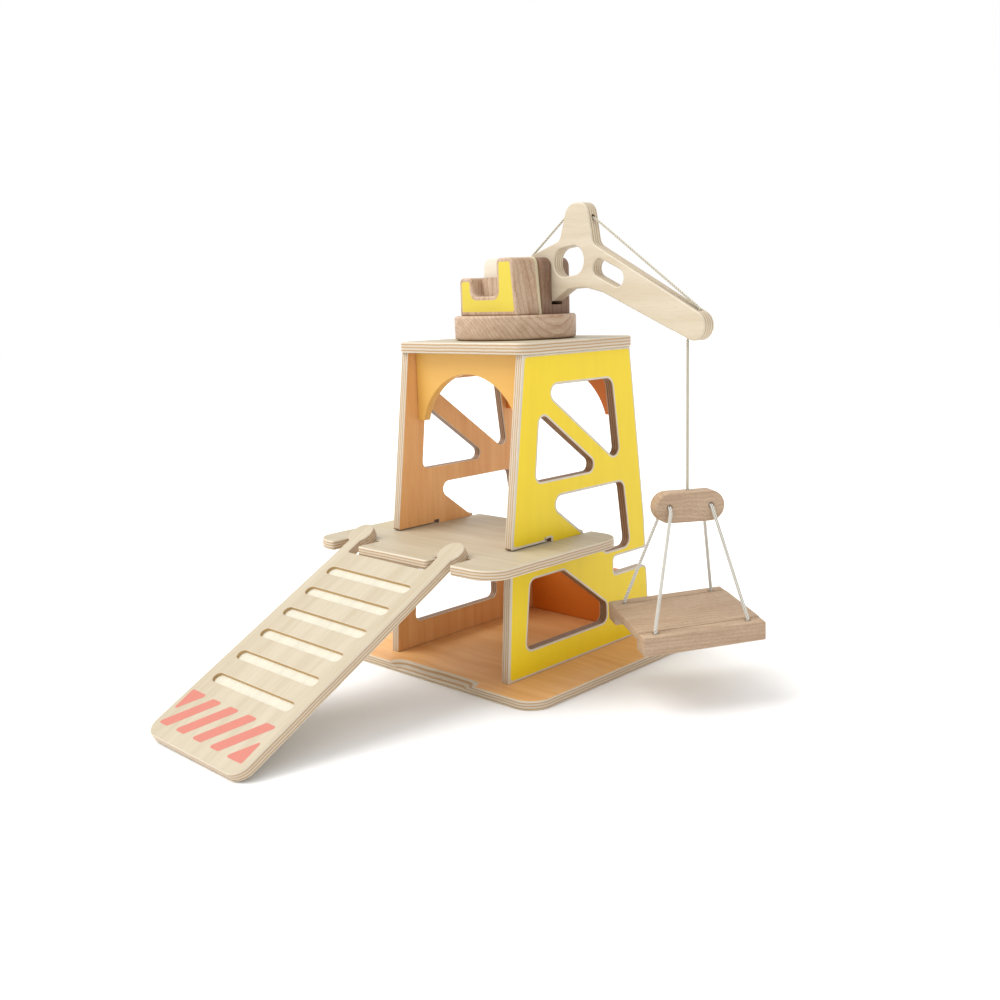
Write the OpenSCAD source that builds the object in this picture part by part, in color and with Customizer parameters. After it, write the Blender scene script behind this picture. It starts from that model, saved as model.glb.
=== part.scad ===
// Wooden toy tower crane: a two-storey plywood tower with a slot-in platform and a hook-on
// ramp, and a turning beech turret whose plywood boom carries a pallet on a winch cord.
// X runs across the tower, -Y is the ramp side, +Z is up; the origin is the centre of the
// base's underside.

/* [Tower] */
// Thickness of every plywood board except the roof
ply = 9; // [8.6:0.1:9.2]
// Half width of the base across the tower
base_x = 131; // [125:1:140]
// Half depth of the base
base_y = 132; // [125:1:140]
// Height of the side panels' top edge
wall_top = 304.5; // [304:0.5:306]
// Outer face of each side panel from the middle
wall_x = 80; // [79:0.5:81]
// Half depth of a side panel at the base
wall_y_low = 108.5; // [107:0.5:110]
// Half depth of a side panel at the roof
wall_y_top = 78; // [76:0.5:80]
// Thickness of the roof board
roof_t = 10.5; // [9:0.5:12]
// Radius of the arches under the roof
arch_r = 65.5; // [60:0.5:66]

/* [Platform and ramp] */
// Height of the platform's underside
platform_z = 122; // [121.9:0.05:122.1]
// Half width of the platform
platform_x = 120; // [115:1:125]
// How far the platform reaches in front of the middle
platform_front = 168; // [166:1:168]
// Slope of the ramp in degrees
ramp_slope = 28.87; // [28.8:0.01:28.9]
// Half width of the ramp
ramp_half_w = 69.4; // [69:0.1:69.5]
// Length of the ramp below its hooks, along the slope
ramp_len = 241.5; // [240:0.5:242]

/* [Turret and boom] */
// Radius of the turntable disc
disc_r = 59; // [56:1:62]
// Direction of the boom at rest, in degrees from +X
boom_heading = -7; // [-20:1:20]
// Thickness of the boom
boom_t = 12.5; // [12:0.1:12.8]
// Distance of the boom's middle plane behind the turret's axis
boom_c = 17; // [16.9:0.05:17.1]

/* [Hoist] */
// Radius of the hoist and sling cords
cord_r = 1.15; // [1:0.05:1.2]
// Height of the spreader bar's sling holes
sling_z = 173.3; // [170:0.5:176]
// Height of the pallet's top face at its middle
pallet_z = 78; // [76:0.5:84]
// Direction of the spreader bar and pallet, in degrees from +X
load_heading = 55.3; // [40:0.5:70]
// Uneven hang of the pallet along its length, in degrees
hang_long = 3; // [0:0.5:3]
// Uneven hang of the pallet across its length, in degrees
hang_cross = 4; // [0:0.5:4]

/* [Hidden] */
$fn = 48;
ARC_STEPS = 6;
EPS = 0.1;
FIT = 0.05;
WALL_IN = wall_x - ply;
WALL_MID = wall_x - ply / 2;
ROOF_TOP = wall_top + roof_t;
PLATFORM_TOP = platform_z + ply;
// The lap joint: both slots end here, just in front of the middle
LAP_Y = -45.2;
PLATFORM_REAR = 12.5;
SLOT_GAP = 0.2;
RELIEF = [7, 2.5];

ARCH_Y = 68.3;
ARCH_Z = 219;
ARCH_FOOT = 238;
LOW_PANEL_Y = 94;
LOW_PANEL_TOP = 70;

// The turntable stands on a thin washer; everything on the turret is measured from its top
WASHER_T = 0.6;
DISC_Z = ROOF_TOP + WASHER_T + FIT;
DISC_TOP = 338;
BOLT_R = 3;
HEAD_R = 7;
HEAD_T = 5;

// The ramp's own frame: the middle of its hook edge, with y up the slope
RAMP_ORIGIN = [-9.9, -168.8, 124.8];
RAMP_SKEW = 0.97;
HOOK_EDGE = -1.6;
// Each hook is an arm between two x values, with a round lobe at its end
ARM_LEFT = [-ramp_half_w, -55.8];
ARM_RIGHT = [52, ramp_half_w];
LOBE_LEFT_X = -64.8;
LOBE_RIGHT_X = 60.3;
LOBE_R = 13.1;
LOBE_Y = 25.4;
GROOVE_FIRST = 27.6;
GROOVE_PITCH = 28.65;
GROOVE_HALF = 56.7;
GROOVE_R = 5.2;
GROOVE_DEPTH = 3;

// Boom, in the boom's plane: x along the boom from the turret's axis, y up from the disc
BOOM_HALF = boom_t / 2;
HORN_HOLE = [[55, 92.2], [99, 85.2]];
TIP_HOLE = [[219.2, 7.2], [201.6, -27.4]];
CORD_HOLE_R = 2.2;
WINCH = [-20, 30];
AXLE_R = 3.5;
WOUND_R = 5.8;
DOWEL_R = 3;
BOOM_DOWELS = [[20, 21], [32, 42]];
DROP = [203.8, -23.1];
DROP_Z = DISC_TOP + DROP.y;
CORD_ROUTE = [
    [-23.53, 36.05], [0, 49.8], [25, 67], [45, 80.7], [54.5, 87.2], [58.5, 89.9], [62, 91],
    [89, 86.7], [93, 85.3], [97, 83.1], [102, 80], [120, 68], [150, 48], [180, 28],
    [208, 9.3], [213, 6.2], [215.6, 4.1], [216.6, 1.7], [214.9, -1.4], [205.6, -19.6],
    [203.8, -22], DROP
];

SPREADER_HALF = 31.5;
SPREADER_R = 13.4;
SPREADER_T = 16.5;
SPREADER_TOP = sling_z + 12.6;
SPREADER_MID = SPREADER_TOP - SPREADER_R;
SLING_X = 19;
SLING_HOLE_R = 2;
KNOT_R = 3.6;
PALLET_HALF = 54.7;
PALLET_DEPTH = 48.4;
BATTEN_W = 19;
BATTEN_H = 17;
// The knots sit in pockets in the battens' undersides
KNOT_MID = -BATTEN_H + KNOT_R + 0.2;
KNOT_TOP = KNOT_MID + KNOT_R;
// How far the pallet hangs off the middle of the bar
PALLET_SHIFT = -2.6;
DECK_T = 8;
RABBET = 6;
EYE_X = 41.6;
EYE_Y = 40.2;

PLY_FACE = "#eedfc7";
YELLOW = "#f0d44c";
ORANGE = "#deaf64";
BEECH = "#be9b7d";
CORD = "#e9e2d2";
STEEL = "silver";

// ---- Outlines ----

function unit(v) = v / norm(v);
function xy(p) = [p[0], p[1]];

// The arc that rounds corner p, between its neighbours a and b; p is [x, y, radius]
function corner(a, p, b) =
    p[2] == 0 ? [xy(p)] :
    let (
        u = unit(xy(a) - xy(p)),
        v = unit(xy(b) - xy(p)),
        half = acos(u * v) / 2,
        mid = xy(p) + unit(u + v) * p[2] / sin(half),
        from = xy(p) + u * p[2] / tan(half) - mid,
        to = xy(p) + v * p[2] / tan(half) - mid,
        start = atan2(from.y, from.x),
        turn = (atan2(to.y, to.x) - start + 540) % 360 - 180
    )
    [for (i = [0:ARC_STEPS]) mid + p[2] * [cos(start + turn * i / ARC_STEPS),
                                         sin(start + turn * i / ARC_STEPS)]];

// An outline with rounded corners, from a list of [x, y, radius]
function rounded(pts) =
    let (n = len(pts))
    [for (i = [0:n - 1]) for (q = corner(pts[(i + n - 1) % n], pts[i], pts[(i + 1) % n])) q];

// Half height of a side panel's outline at height z
function wall_y(z) =
    z < PLATFORM_TOP
        ? wall_y_low - (wall_y_low - 100) * (z - ply) / (PLATFORM_TOP - ply)
        : 100 - (100 - wall_y_top) * (z - PLATFORM_TOP) / (wall_top - PLATFORM_TOP);

module slab(x, y, z, r) {
    translate([0, 0, z[0]])
        linear_extrude(z[1] - z[0])
            polygon(rounded([[x[0], y[0], r], [x[1], y[0], r], [x[1], y[1], r], [x[0], y[1], r]]));
}

// A shape drawn in (y, z) and made solid from x0 to x1
module along_x(x0, x1) {
    translate([x0, 0, 0])
        rotate([90, 0, 90])
            linear_extrude(x1 - x0)
                children();
}

// A shape drawn in (x, z) and made solid from y0 to y1
module along_y(y0, y1) {
    translate([0, y1, 0])
        rotate([90, 0, 0])
            linear_extrude(y1 - y0)
                children();
}

// A flat slot with round ends between two points
module stadium(a, b, r) {
    far = norm(b - a) + r;
    round = 0.99 * r;
    translate(a)
        rotate(atan2(b.y - a.y, b.x - a.x))
            polygon(rounded([[-r, -r, round], [far, -r, round], [far, r, round], [-r, r, round]]));
}

// A straight round bar or hole between two points
module bar(a, b, r) {
    d = b - a;
    translate(a)
        rotate([0, acos(d.z / norm(d)), atan2(d.y, d.x)])
            cylinder(h = norm(d), r = r);
}

// ---- Cords ----

CORD_SIDES = 8;
RING_STEP = 6.2;

// The route's points with extra ones between them, no more than RING_STEP apart
function finer(route) = [
    for (i = [0:len(route) - 2])
        let (n = ceil(norm(route[i + 1] - route[i]) / RING_STEP))
        for (k = [0:n - 1]) route[i] + (route[i + 1] - route[i]) * k / n,
    route[len(route) - 1]
];

function heading_at(pts, i) =
    unit(pts[min(i + 1, len(pts) - 1)] - pts[max(i - 1, 0)]);

// One ring round point i; flat is a direction across the plane that the route lies in
function ring(pts, i, r, flat) =
    let (t = heading_at(pts, i), u = unit(cross(flat, t)), v = cross(t, u))
    [for (k = [0:CORD_SIDES - 1])
        pts[i] + r * (cos(360 * k / CORD_SIDES) * u + sin(360 * k / CORD_SIDES) * v)];

module tube(route, r, flat) {
    pts = finer(route);
    n = len(pts);
    m = CORD_SIDES;
    verts = [for (i = [0:n - 1]) for (q = ring(pts, i, r, flat)) q];
    sides = [
        for (i = [0:n - 2]) for (k = [0:m - 1])
            let (a = i * m + k, b = i * m + (k + 1) % m)
            for (f = [[a, a + m, b], [b, a + m, b + m]]) f
    ];
    ends = [[for (k = [0:m - 1]) k], [for (k = [m - 1:-1:0]) (n - 1) * m + k]];
    polyhedron(points = verts, faces = concat(sides, ends), convexity = 4);
}

// ---- Tower ----

// Places for the screws up into the walls, as [x, y]
SCREWS = [
    for (x = [-1, 1]) for (y = [-1, 1]) [x * WALL_MID, y * 80],
    for (x = [-1, 1]) [x * 45, LOW_PANEL_Y + ply / 2]
];
SCREW_R = 1.75;
SCREW_HEAD_R = 3.6;
SCREW_TOP = 32;

module screw(grow) {
    translate([0, 0, 0.3 - grow])
        cylinder(h = 2.4 + grow, r1 = SCREW_HEAD_R + 2 * grow, r2 = SCREW_R + grow);
    cylinder(h = SCREW_TOP + grow, r = SCREW_R + grow);
}

module screws(grow) {
    for (p = SCREWS)
        translate([p.x, p.y, 0])
            screw(grow);
}

module wall_screws() {
    color(STEEL)
        difference() {
            screws(0);
            translate([0, 0, -1])
                slab([-base_x, base_x], [-base_y, base_y], [0, 1.3], 0);
        }
}

// Places for the blind dowels that hold the roof, as [x, y]
DOWELS = [
    for (x = [-1, 1]) for (y = [-1, 1]) [x * WALL_MID, y * 48],
    for (x = [-1, 1]) for (y = [-1, 1]) [x * 55, y * (ARCH_Y - ply / 2)]
];
PEG_R = 2.5;
PEG_DOWN = 12;
PEG_UP = 7;

module pegs(grow) {
    for (p = DOWELS)
        translate([p.x, p.y, wall_top - PEG_DOWN - grow])
            cylinder(h = PEG_DOWN + PEG_UP + 2 * grow, r = PEG_R + grow);
}

module roof_dowels() {
    color(BEECH) pegs(0);
}

// The base, thinned in front between the walls so that a toy car can drive on
DRIVE_ON_X = 50;
DRIVE_ON_DEPTH = 14.5;
DRIVE_ON_DROP = 5.5;

module base_plate() {
    color(PLY_FACE)
        difference() {
            slab([-base_x, base_x], [-base_y, base_y], [0, ply], 22);
            along_x(-DRIVE_ON_X, DRIVE_ON_X)
                polygon([
                    [-base_y + DRIVE_ON_DEPTH, ply + EPS],
                    [-base_y + DRIVE_ON_DEPTH, ply],
                    [-base_y, ply - DRIVE_ON_DROP],
                    [-base_y - 1, ply - DRIVE_ON_DROP],
                    [-base_y - 1, ply + EPS]
                ]);
            screws(FIT);
        }
}

// Windows of a side panel, as outlines of [y, z, radius]
WINDOWS = [
    [[-56.2, 275.3, 7.5], [48.3, 275.3, 9.5], [60.2, 190.9, 7.5]],
    [[-57.4, 252.9, 6.5], [-64.7, 189, 6.5], [31.4, 189, 6.5]],
    [[-53.8, 172, 8], [64.7, 172, 8], [74.9, 105.5, 8], [36.7, 105.5, 8]],
    [[-75.2, 99.8, 7], [-28.5, 99.8, 7], [36, 53.5, 7], [36, 34.5, 7], [-83, 34.5, 7]]
];

module side_outline() {
    difference() {
        polygon([
            [-wall_y(ply), ply], [wall_y(ply), ply], [wall_y(PLATFORM_TOP), PLATFORM_TOP],
            [wall_y_top, wall_top], [-wall_y_top, wall_top], [-wall_y(PLATFORM_TOP), PLATFORM_TOP]
        ]);
        for (w = WINDOWS)
            polygon(rounded(w));
        // Slot for the platform
        translate([-wall_y_low, platform_z - SLOT_GAP])
            square([wall_y_low + LAP_Y + SLOT_GAP, ply + 5 * SLOT_GAP]);
        // Small relief above the slot's inner end
        translate([LAP_Y + SLOT_GAP - RELIEF[0], PLATFORM_TOP])
            square([RELIEF[0], 4 * SLOT_GAP + RELIEF[1]]);
        // Notch in the rear edge
        polygon(rounded([
            [48.8, 80.5, 4], [wall_y_low, 80.5, 0], [wall_y_low, 97.9, 0], [48.8, 97.9, 4]
        ]));
    }
}

module side_panel(x0) {
    difference() {
        along_x(x0, x0 + ply)
            side_outline();
        screws(FIT);
        pegs(FIT);
    }
}

module side_panel_left() {
    color(YELLOW) side_panel(-wall_x);
}

module side_panel_right() {
    color(YELLOW) side_panel(WALL_IN);
}

module arch_outline() {
    foot = sqrt(pow(arch_r, 2) - pow(ARCH_FOOT - ARCH_Z, 2));
    difference() {
        polygon(rounded([
            [-WALL_IN, ARCH_FOOT, 3], [WALL_IN, ARCH_FOOT, 3],
            [WALL_IN, wall_top, 0], [-WALL_IN, wall_top, 0]
        ]));
        translate([0, ARCH_Z]) circle(arch_r, $fn = 96);
        translate([-foot, ARCH_FOOT - EPS]) square([2 * foot, 2 * EPS]);
    }
}

module arch_panel(y0) {
    difference() {
        along_y(y0, y0 + ply)
            arch_outline();
        pegs(FIT);
    }
}

module front_arch_panel() {
    color(ORANGE) arch_panel(-ARCH_Y);
}

module rear_arch_panel() {
    color(ORANGE) arch_panel(ARCH_Y - ply);
}

module rear_low_panel() {
    color(ORANGE)
        difference() {
            along_y(LOW_PANEL_Y, LOW_PANEL_Y + ply)
                translate([-WALL_IN, ply])
                    square([2 * WALL_IN, LOW_PANEL_TOP - ply]);
            screws(FIT);
        }
}

module top_plate() {
    color(PLY_FACE)
        difference() {
            slab([-84.5, 84.5], [-81.5, 81.5], [wall_top, ROOF_TOP], 12);
            pegs(FIT);
            translate([0, 0, wall_top - EPS])
                cylinder(h = roof_t + 2 * EPS, r = BOLT_R + FIT);
        }
}

// ---- Turntable pivot ----

WASHER_R = 9;
WASHER_LOW = wall_top - 1.2;
NUT_T = 5;
HEAD_GAP = 0.4;
HEAD_Z = DISC_TOP - HEAD_T - HEAD_GAP;

module turret_bolt() {
    color(STEEL) {
        translate([0, 0, WASHER_LOW - NUT_T - 2])
            cylinder(h = HEAD_Z - WASHER_LOW + NUT_T + 2, r = BOLT_R);
        translate([0, 0, HEAD_Z])
            cylinder(h = HEAD_T, r = HEAD_R);
    }
}

module washer(z, t) {
    translate([0, 0, z])
        difference() {
            cylinder(h = t, r = WASHER_R);
            translate([0, 0, -EPS])
                cylinder(h = t + 2 * EPS, r = BOLT_R + FIT);
        }
}

module turret_washers() {
    color(STEEL) {
        washer(ROOF_TOP, WASHER_T);
        washer(WASHER_LOW, wall_top - WASHER_LOW);
    }
}

module turret_nut() {
    color(STEEL)
        translate([0, 0, WASHER_LOW - NUT_T])
            difference() {
                cylinder(h = NUT_T, r = 5.8, $fn = 6);
                translate([0, 0, -EPS])
                    cylinder(h = NUT_T + 2 * EPS, r = BOLT_R + FIT);
            }
}

// ---- Platform and ramp ----

// Notches for the ramp's hooks. The right one has a wider pocket behind its mouth
NOTCH_LEFT = [-89, -53];
NOTCH_RIGHT = [41, 69.5];
POCKET_MORE = 4.4;
POCKET_END = -137.4;
POCKET_ROUND = 4;
SHOULDER_Y = -155.5;

module hook_notch(x, pocket_x) {
    translate([0, 0, platform_z - EPS])
        linear_extrude(ply + 2 * EPS) {
            translate([x[0], -platform_front - 1])
                square([x[1] - x[0], SHOULDER_Y + platform_front + 2]);
            polygon(rounded([
                [pocket_x[0], SHOULDER_Y, 0], [pocket_x[1], SHOULDER_Y, 0],
                [pocket_x[1], POCKET_END, POCKET_ROUND], [pocket_x[0], POCKET_END, POCKET_ROUND]
            ]));
        }
}

module middle_platform() {
    color(PLY_FACE)
        difference() {
            slab([-platform_x, platform_x], [-platform_front, PLATFORM_REAR],
                 [platform_z, PLATFORM_TOP], 23);
            // Slots that lap onto the side panels
            for (x = [-WALL_MID, WALL_MID])
                translate([x - ply / 2 - 2 * SLOT_GAP, LAP_Y - SLOT_GAP, platform_z - EPS])
                    cube([ply + 4 * SLOT_GAP, PLATFORM_REAR - LAP_Y + 1, ply + 2 * EPS]);
            hook_notch(NOTCH_LEFT, NOTCH_LEFT);
            hook_notch(NOTCH_RIGHT, [NOTCH_RIGHT[0] - POCKET_MORE, NOTCH_RIGHT[1]]);
        }
}

module hook_outline(arm, lobe_x) {
    translate([lobe_x, LOBE_Y]) circle(LOBE_R);
    translate([arm[0], HOOK_EDGE - 1])
        square([arm[1] - arm[0], LOBE_Y - HOOK_EDGE + 1]);
}

module ramp_outline() {
    polygon(rounded([
        [-ramp_half_w, -ramp_len, 14], [ramp_half_w, -ramp_len, 14],
        [ramp_half_w, HOOK_EDGE, 0], [-ramp_half_w, HOOK_EDGE, 0]
    ]));
    hook_outline(ARM_LEFT, LOBE_LEFT_X);
    hook_outline(ARM_RIGHT, LOBE_RIGHT_X);
}

module ramp() {
    color(PLY_FACE)
        translate(RAMP_ORIGIN)
            rotate([ramp_slope, 0, 0])
                rotate([0, 0, -RAMP_SKEW])
                    difference() {
                        translate([0, 0, -ply])
                            linear_extrude(ply)
                                ramp_outline();
                        for (i = [0:5])
                            translate([0, -GROOVE_FIRST - i * GROOVE_PITCH, -GROOVE_DEPTH])
                                linear_extrude(GROOVE_DEPTH + EPS)
                                    stadium([-GROOVE_HALF + GROOVE_R, 0],
                                            [GROOVE_HALF - GROOVE_R, 0], GROOVE_R);
                    }
}

// ---- Turret, in its own frame: x along the boom, z up from the disc's top ----

module on_turret() {
    rotate([0, 0, boom_heading])
        translate([0, 0, DISC_TOP])
            children();
}

module turntable_disc() {
    color(BEECH)
        difference() {
            translate([0, 0, DISC_Z])
                cylinder(h = DISC_TOP - DISC_Z, r = disc_r, $fn = 96);
            translate([0, 0, DISC_Z - EPS])
                cylinder(h = DISC_TOP - DISC_Z, r = BOLT_R + FIT);
            translate([0, 0, HEAD_Z - HEAD_GAP])
                cylinder(h = HEAD_T + 4 * HEAD_GAP, r = HEAD_R + HEAD_GAP);
        }
}

CAB_FRONT = -34;
CAB_REAR = -6;
PLATE_REAR = -2;
BLOCK_REAR = 34;
SEAT_FRONT = 13.9;
SEAT_BACK = -23.3;
SEAT_Z = 18.2;

module cab_block() {
    color(BEECH)
        on_turret()
            difference() {
                along_y(CAB_FRONT, CAB_REAR)
                    polygon(rounded([
                        [-42.7, 0, 0], [42.7, 0, 0], [36.6, 53, 4], [SEAT_FRONT, 53, 4],
                        [SEAT_FRONT, 36, 0], [-42.7, 36, 4]
                    ]));
                // Seat notch milled into the front face
                along_y(CAB_FRONT - 1, CAB_FRONT + 12)
                    polygon(rounded([
                        [SEAT_BACK, SEAT_Z, 5], [SEAT_FRONT, SEAT_Z, 5],
                        [SEAT_FRONT, 40, 0], [SEAT_BACK, 40, 0]
                    ]));
            }
}

module cab_back_plate() {
    color(PLY_FACE)
        on_turret()
            along_y(CAB_REAR, PLATE_REAR)
                polygon(rounded([[-41.5, 0, 0], [41.5, 0, 0], [36, 54, 8], [-38, 54, 8]]));
}

// Round pins across the boom's plane, from y0 to y1
module cross_pins(places, y0, y1, r) {
    for (p = places)
        translate([p.x, y0, p.y])
            rotate([-90, 0, 0])
                cylinder(h = y1 - y0, r = r);
}

AXLE_BLIND = 3;
SLOT_SIDE = boom_t / 2 + 0.4;
SLOT_FLOOR = 9;

module boom_block() {
    color(BEECH)
        on_turret()
            difference() {
                along_y(PLATE_REAR, BLOCK_REAR)
                    polygon(rounded([[-42, 0, 0], [42, 0, 0], [42, 53, 9], [-42, 53, 4]]));
                along_y(boom_c - SLOT_SIDE, boom_c + SLOT_SIDE)
                    translate([-60, SLOT_FLOOR])
                        square([120, 60]);
                cross_pins([WINCH], AXLE_BLIND - FIT, BLOCK_REAR + 1, AXLE_R + FIT);
                cross_pins(BOOM_DOWELS, AXLE_BLIND - FIT, BLOCK_REAR + 1, DOWEL_R + FIT);
            }
}

module boom_outline() {
    difference() {
        polygon(rounded([
            [8, 12, 0], [43, 12, 3], [64, 22.7, 20], [86.8, 23.6, 30], [109.4, 18.6, 10],
            [221.2, -27.1, 12.3], [231.1, -5.4, 12.3], [97.1, 62.1, 10], [90, 99.8, 12],
            [63.9, 99.8, 14], [53.4, 67.2, 8], [20, 57.6, 6], [8, 53, 2]
        ]));
        stadium([58, 47], [72, 48.5], 13.2);
        stadium([105, 40.5], [127, 31], 8);
    }
}

module boom() {
    color(PLY_FACE)
        on_turret()
            translate([0, boom_c, 0])
                difference() {
                    along_y(-BOOM_HALF, BOOM_HALF)
                        boom_outline();
                    cross_pins(BOOM_DOWELS, -BOOM_HALF - 1, BOOM_HALF + 1, DOWEL_R + FIT);
                    for (h = [HORN_HOLE, TIP_HOLE])
                        bar([h[0].x, 0, h[0].y], [h[1].x, 0, h[1].y], CORD_HOLE_R);
                }
}

module boom_dowels() {
    color(BEECH)
        on_turret()
            cross_pins(BOOM_DOWELS, AXLE_BLIND, BLOCK_REAR, DOWEL_R);
}

module hoist_cord() {
    color(CORD)
        on_turret()
            tube([for (p = CORD_ROUTE) [p.x, boom_c, p.y]], cord_r, [0, 1, 0]);
}

// ---- Winch ----

KNOB_Y = BLOCK_REAR + 1;
KNOB_LEN = 15;
KNOB_R = 10.5;

module winch_axle() {
    color(BEECH)
        on_turret()
            cross_pins([WINCH], AXLE_BLIND, KNOB_Y + KNOB_LEN - 4, AXLE_R);
}

module winch_knob() {
    color(BEECH)
        on_turret()
            translate([WINCH.x, KNOB_Y, WINCH.y])
                rotate([-90, 0, 0])
                    rotate_extrude()
                        polygon(rounded([
                            [AXLE_R + FIT, 0, 0], [KNOB_R - 2, 0, 1], [KNOB_R - 3, 4, 2],
                            [KNOB_R, 8, 3], [KNOB_R, KNOB_LEN, 3], [0, KNOB_LEN, 0],
                            [0, KNOB_LEN - 4 + FIT, 0], [AXLE_R + FIT, KNOB_LEN - 4 + FIT, 0]
                        ]));
}

// The cord wound on the axle: touching turns, side by side
TURNS = 4;

module winch_cord_turns() {
    color(CORD)
        on_turret()
            translate([WINCH.x, boom_c, WINCH.y])
                rotate([-90, 0, 0])
                    rotate_extrude()
                        difference() {
                            union() {
                                for (i = [0:TURNS - 1])
                                    translate([WOUND_R - cord_r, (i - (TURNS - 1) / 2) * 2 * cord_r])
                                        circle(cord_r, $fn = 16);
                                translate([AXLE_R, -TURNS * cord_r + 0.3])
                                    square([WOUND_R - AXLE_R - cord_r, TURNS * 2 * cord_r - 0.6]);
                            }
                            translate([0, -20])
                                square([AXLE_R + FIT, 40]);
                        }
}

// ---- Load, in its own frame: the origin under the boom's tip, x along the spreader bar ----

module at_load() {
    rotate([0, 0, boom_heading])
        translate([DROP.x, boom_c, 0])
            rotate([0, 0, load_heading - boom_heading])
                children();
}

module drop_cord() {
    color(CORD)
        at_load()
            tube([[0, 0, DROP_Z], [0, 0, SPREADER_TOP]], cord_r, [0, 1, 0]);
}

KNOT_POCKET_R = 4.4;
KNOT_Z = SPREADER_TOP - 2 * SPREADER_R + 5.2;

module hoist_knot() {
    color(CORD)
        at_load() {
            translate([0, 0, KNOT_Z])
                sphere(KNOT_R);
            translate([0, 0, KNOT_Z])
                cylinder(h = SPREADER_TOP - KNOT_Z, r = cord_r);
        }
}

module spreader_bar() {
    color(BEECH)
        at_load()
            difference() {
                along_y(-SPREADER_T / 2, SPREADER_T / 2)
                    stadium([-SPREADER_HALF + SPREADER_R, SPREADER_MID],
                            [SPREADER_HALF - SPREADER_R, SPREADER_MID], SPREADER_R);
                for (x = [-SLING_X, SLING_X])
                    translate([x, -SPREADER_T, sling_z])
                        rotate([-90, 0, 0])
                            cylinder(h = 2 * SPREADER_T, r = SLING_HOLE_R);
                translate([0, 0, SPREADER_TOP - 3 * SPREADER_R])
                    cylinder(h = 4 * SPREADER_R, r = SLING_HOLE_R);
                translate([0, 0, SPREADER_TOP - 3 * SPREADER_R])
                    cylinder(h = KNOT_Z + KNOT_R + 0.3 - SPREADER_TOP + 3 * SPREADER_R,
                             r = KNOT_POCKET_R);
            }
}

// A point of the pallet, given from the middle of its top face, in the load's frame
function hung(p) =
    let (
        c = cos(hang_cross), s = sin(hang_cross),
        q = [p.x, p.y * c - p.z * s, p.y * s + p.z * c]
    )
    [q.x * cos(hang_long) - q.z * sin(hang_long) + PALLET_SHIFT, q.y,
     q.x * sin(hang_long) + q.z * cos(hang_long) + pallet_z];

module on_pallet() {
    at_load()
        translate([PALLET_SHIFT, 0, pallet_z])
            rotate([hang_cross, -hang_long, 0])
                children();
}

// One sling: up from the front eye, through the spreader bar and down to the rear eye
function sling_route(side) =
    let (
        face = SPREADER_T / 2,
        x = side * SLING_X,
        front = [side * EYE_X, -EYE_Y, 0],
        rear = [side * EYE_X, EYE_Y, 0],
        down = [0, 0, KNOT_TOP]
    )
    [
        hung(front + down), hung(front), hung(front + [0, 0.2, 2]),
        [x + side * 0.5, -face - 3.2, sling_z - 5], [x, -face - 1.2, sling_z - 0.6],
        [x, -face + 1.5, sling_z], [x, face - 1.5, sling_z],
        [x, face + 1.2, sling_z - 0.6], [x + side * 0.5, face + 3.2, sling_z - 5],
        hung(rear + [0, -0.2, 2]), hung(rear), hung(rear + down)
    ];

module sling_cord_left() {
    color(CORD)
        at_load()
            tube(sling_route(-1), cord_r, [1, 0, 0]);
}

module sling_cord_right() {
    color(CORD)
        at_load()
            tube(sling_route(1), cord_r, [1, 0, 0]);
}

module sling_knots() {
    color(CORD)
        on_pallet()
            for (x = [-EYE_X, EYE_X])
                for (y = [-EYE_Y, EYE_Y])
                    translate([x, y, KNOT_MID])
                        sphere(KNOT_R);
}

// Batten in front of the pallet's middle, with a rabbet for the deck
PIN_R = 2;
PIN_X = [-36, 0, 36];
PIN_LOW = -14;
PIN_TOP = -3;

module pins(y, grow) {
    for (x = PIN_X)
        translate([x, y, PIN_LOW - grow])
            cylinder(h = PIN_TOP - PIN_LOW + 2 * grow, r = PIN_R + grow);
}

PIN_Y = PALLET_DEPTH - BATTEN_W + RABBET / 2;

module batten() {
    difference() {
        translate([0, -PALLET_DEPTH, -BATTEN_H])
            translate([-PALLET_HALF, 0, 0])
                cube([2 * PALLET_HALF, BATTEN_W, BATTEN_H]);
        translate([-PALLET_HALF - 1, -PALLET_DEPTH + BATTEN_W - RABBET, -DECK_T])
            cube([2 * PALLET_HALF + 2, RABBET + 1, DECK_T + 1]);
        for (x = [-EYE_X, EYE_X])
            translate([x, -EYE_Y, -BATTEN_H - 1]) {
                cylinder(h = BATTEN_H + 2, r = SLING_HOLE_R);
                cylinder(h = KNOT_TOP + BATTEN_H + 1.2, r = KNOT_POCKET_R);
            }
        pins(-PIN_Y, FIT);
    }
}

module pallet_front_batten() {
    color(BEECH)
        on_pallet()
            batten();
}

module pallet_rear_batten() {
    color(BEECH)
        on_pallet()
            mirror([0, 1, 0])
                batten();
}

module pallet_deck() {
    deck_y = PALLET_DEPTH - BATTEN_W + RABBET - 0.1;
    color(BEECH)
        on_pallet()
            difference() {
                translate([-PALLET_HALF, -deck_y, -DECK_T])
                    cube([2 * PALLET_HALF, 2 * deck_y, DECK_T]);
                pins(-PIN_Y, FIT);
                pins(PIN_Y, FIT);
            }
}

module pallet_pins() {
    color(BEECH)
        on_pallet() {
            pins(-PIN_Y, 0);
            pins(PIN_Y, 0);
        }
}

base_plate();
side_panel_left();
side_panel_right();
front_arch_panel();
rear_arch_panel();
rear_low_panel();
top_plate();
wall_screws();
roof_dowels();
turret_bolt();
turret_washers();
turret_nut();
middle_platform();
ramp();
turntable_disc();
cab_block();
cab_back_plate();
boom_block();
boom();
boom_dowels();
hoist_cord();
winch_axle();
winch_knob();
winch_cord_turns();
drop_cord();
hoist_knot();
spreader_bar();
sling_cord_left();
sling_cord_right();
sling_knots();
pallet_front_batten();
pallet_rear_batten();
pallet_deck();
pallet_pins();
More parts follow.
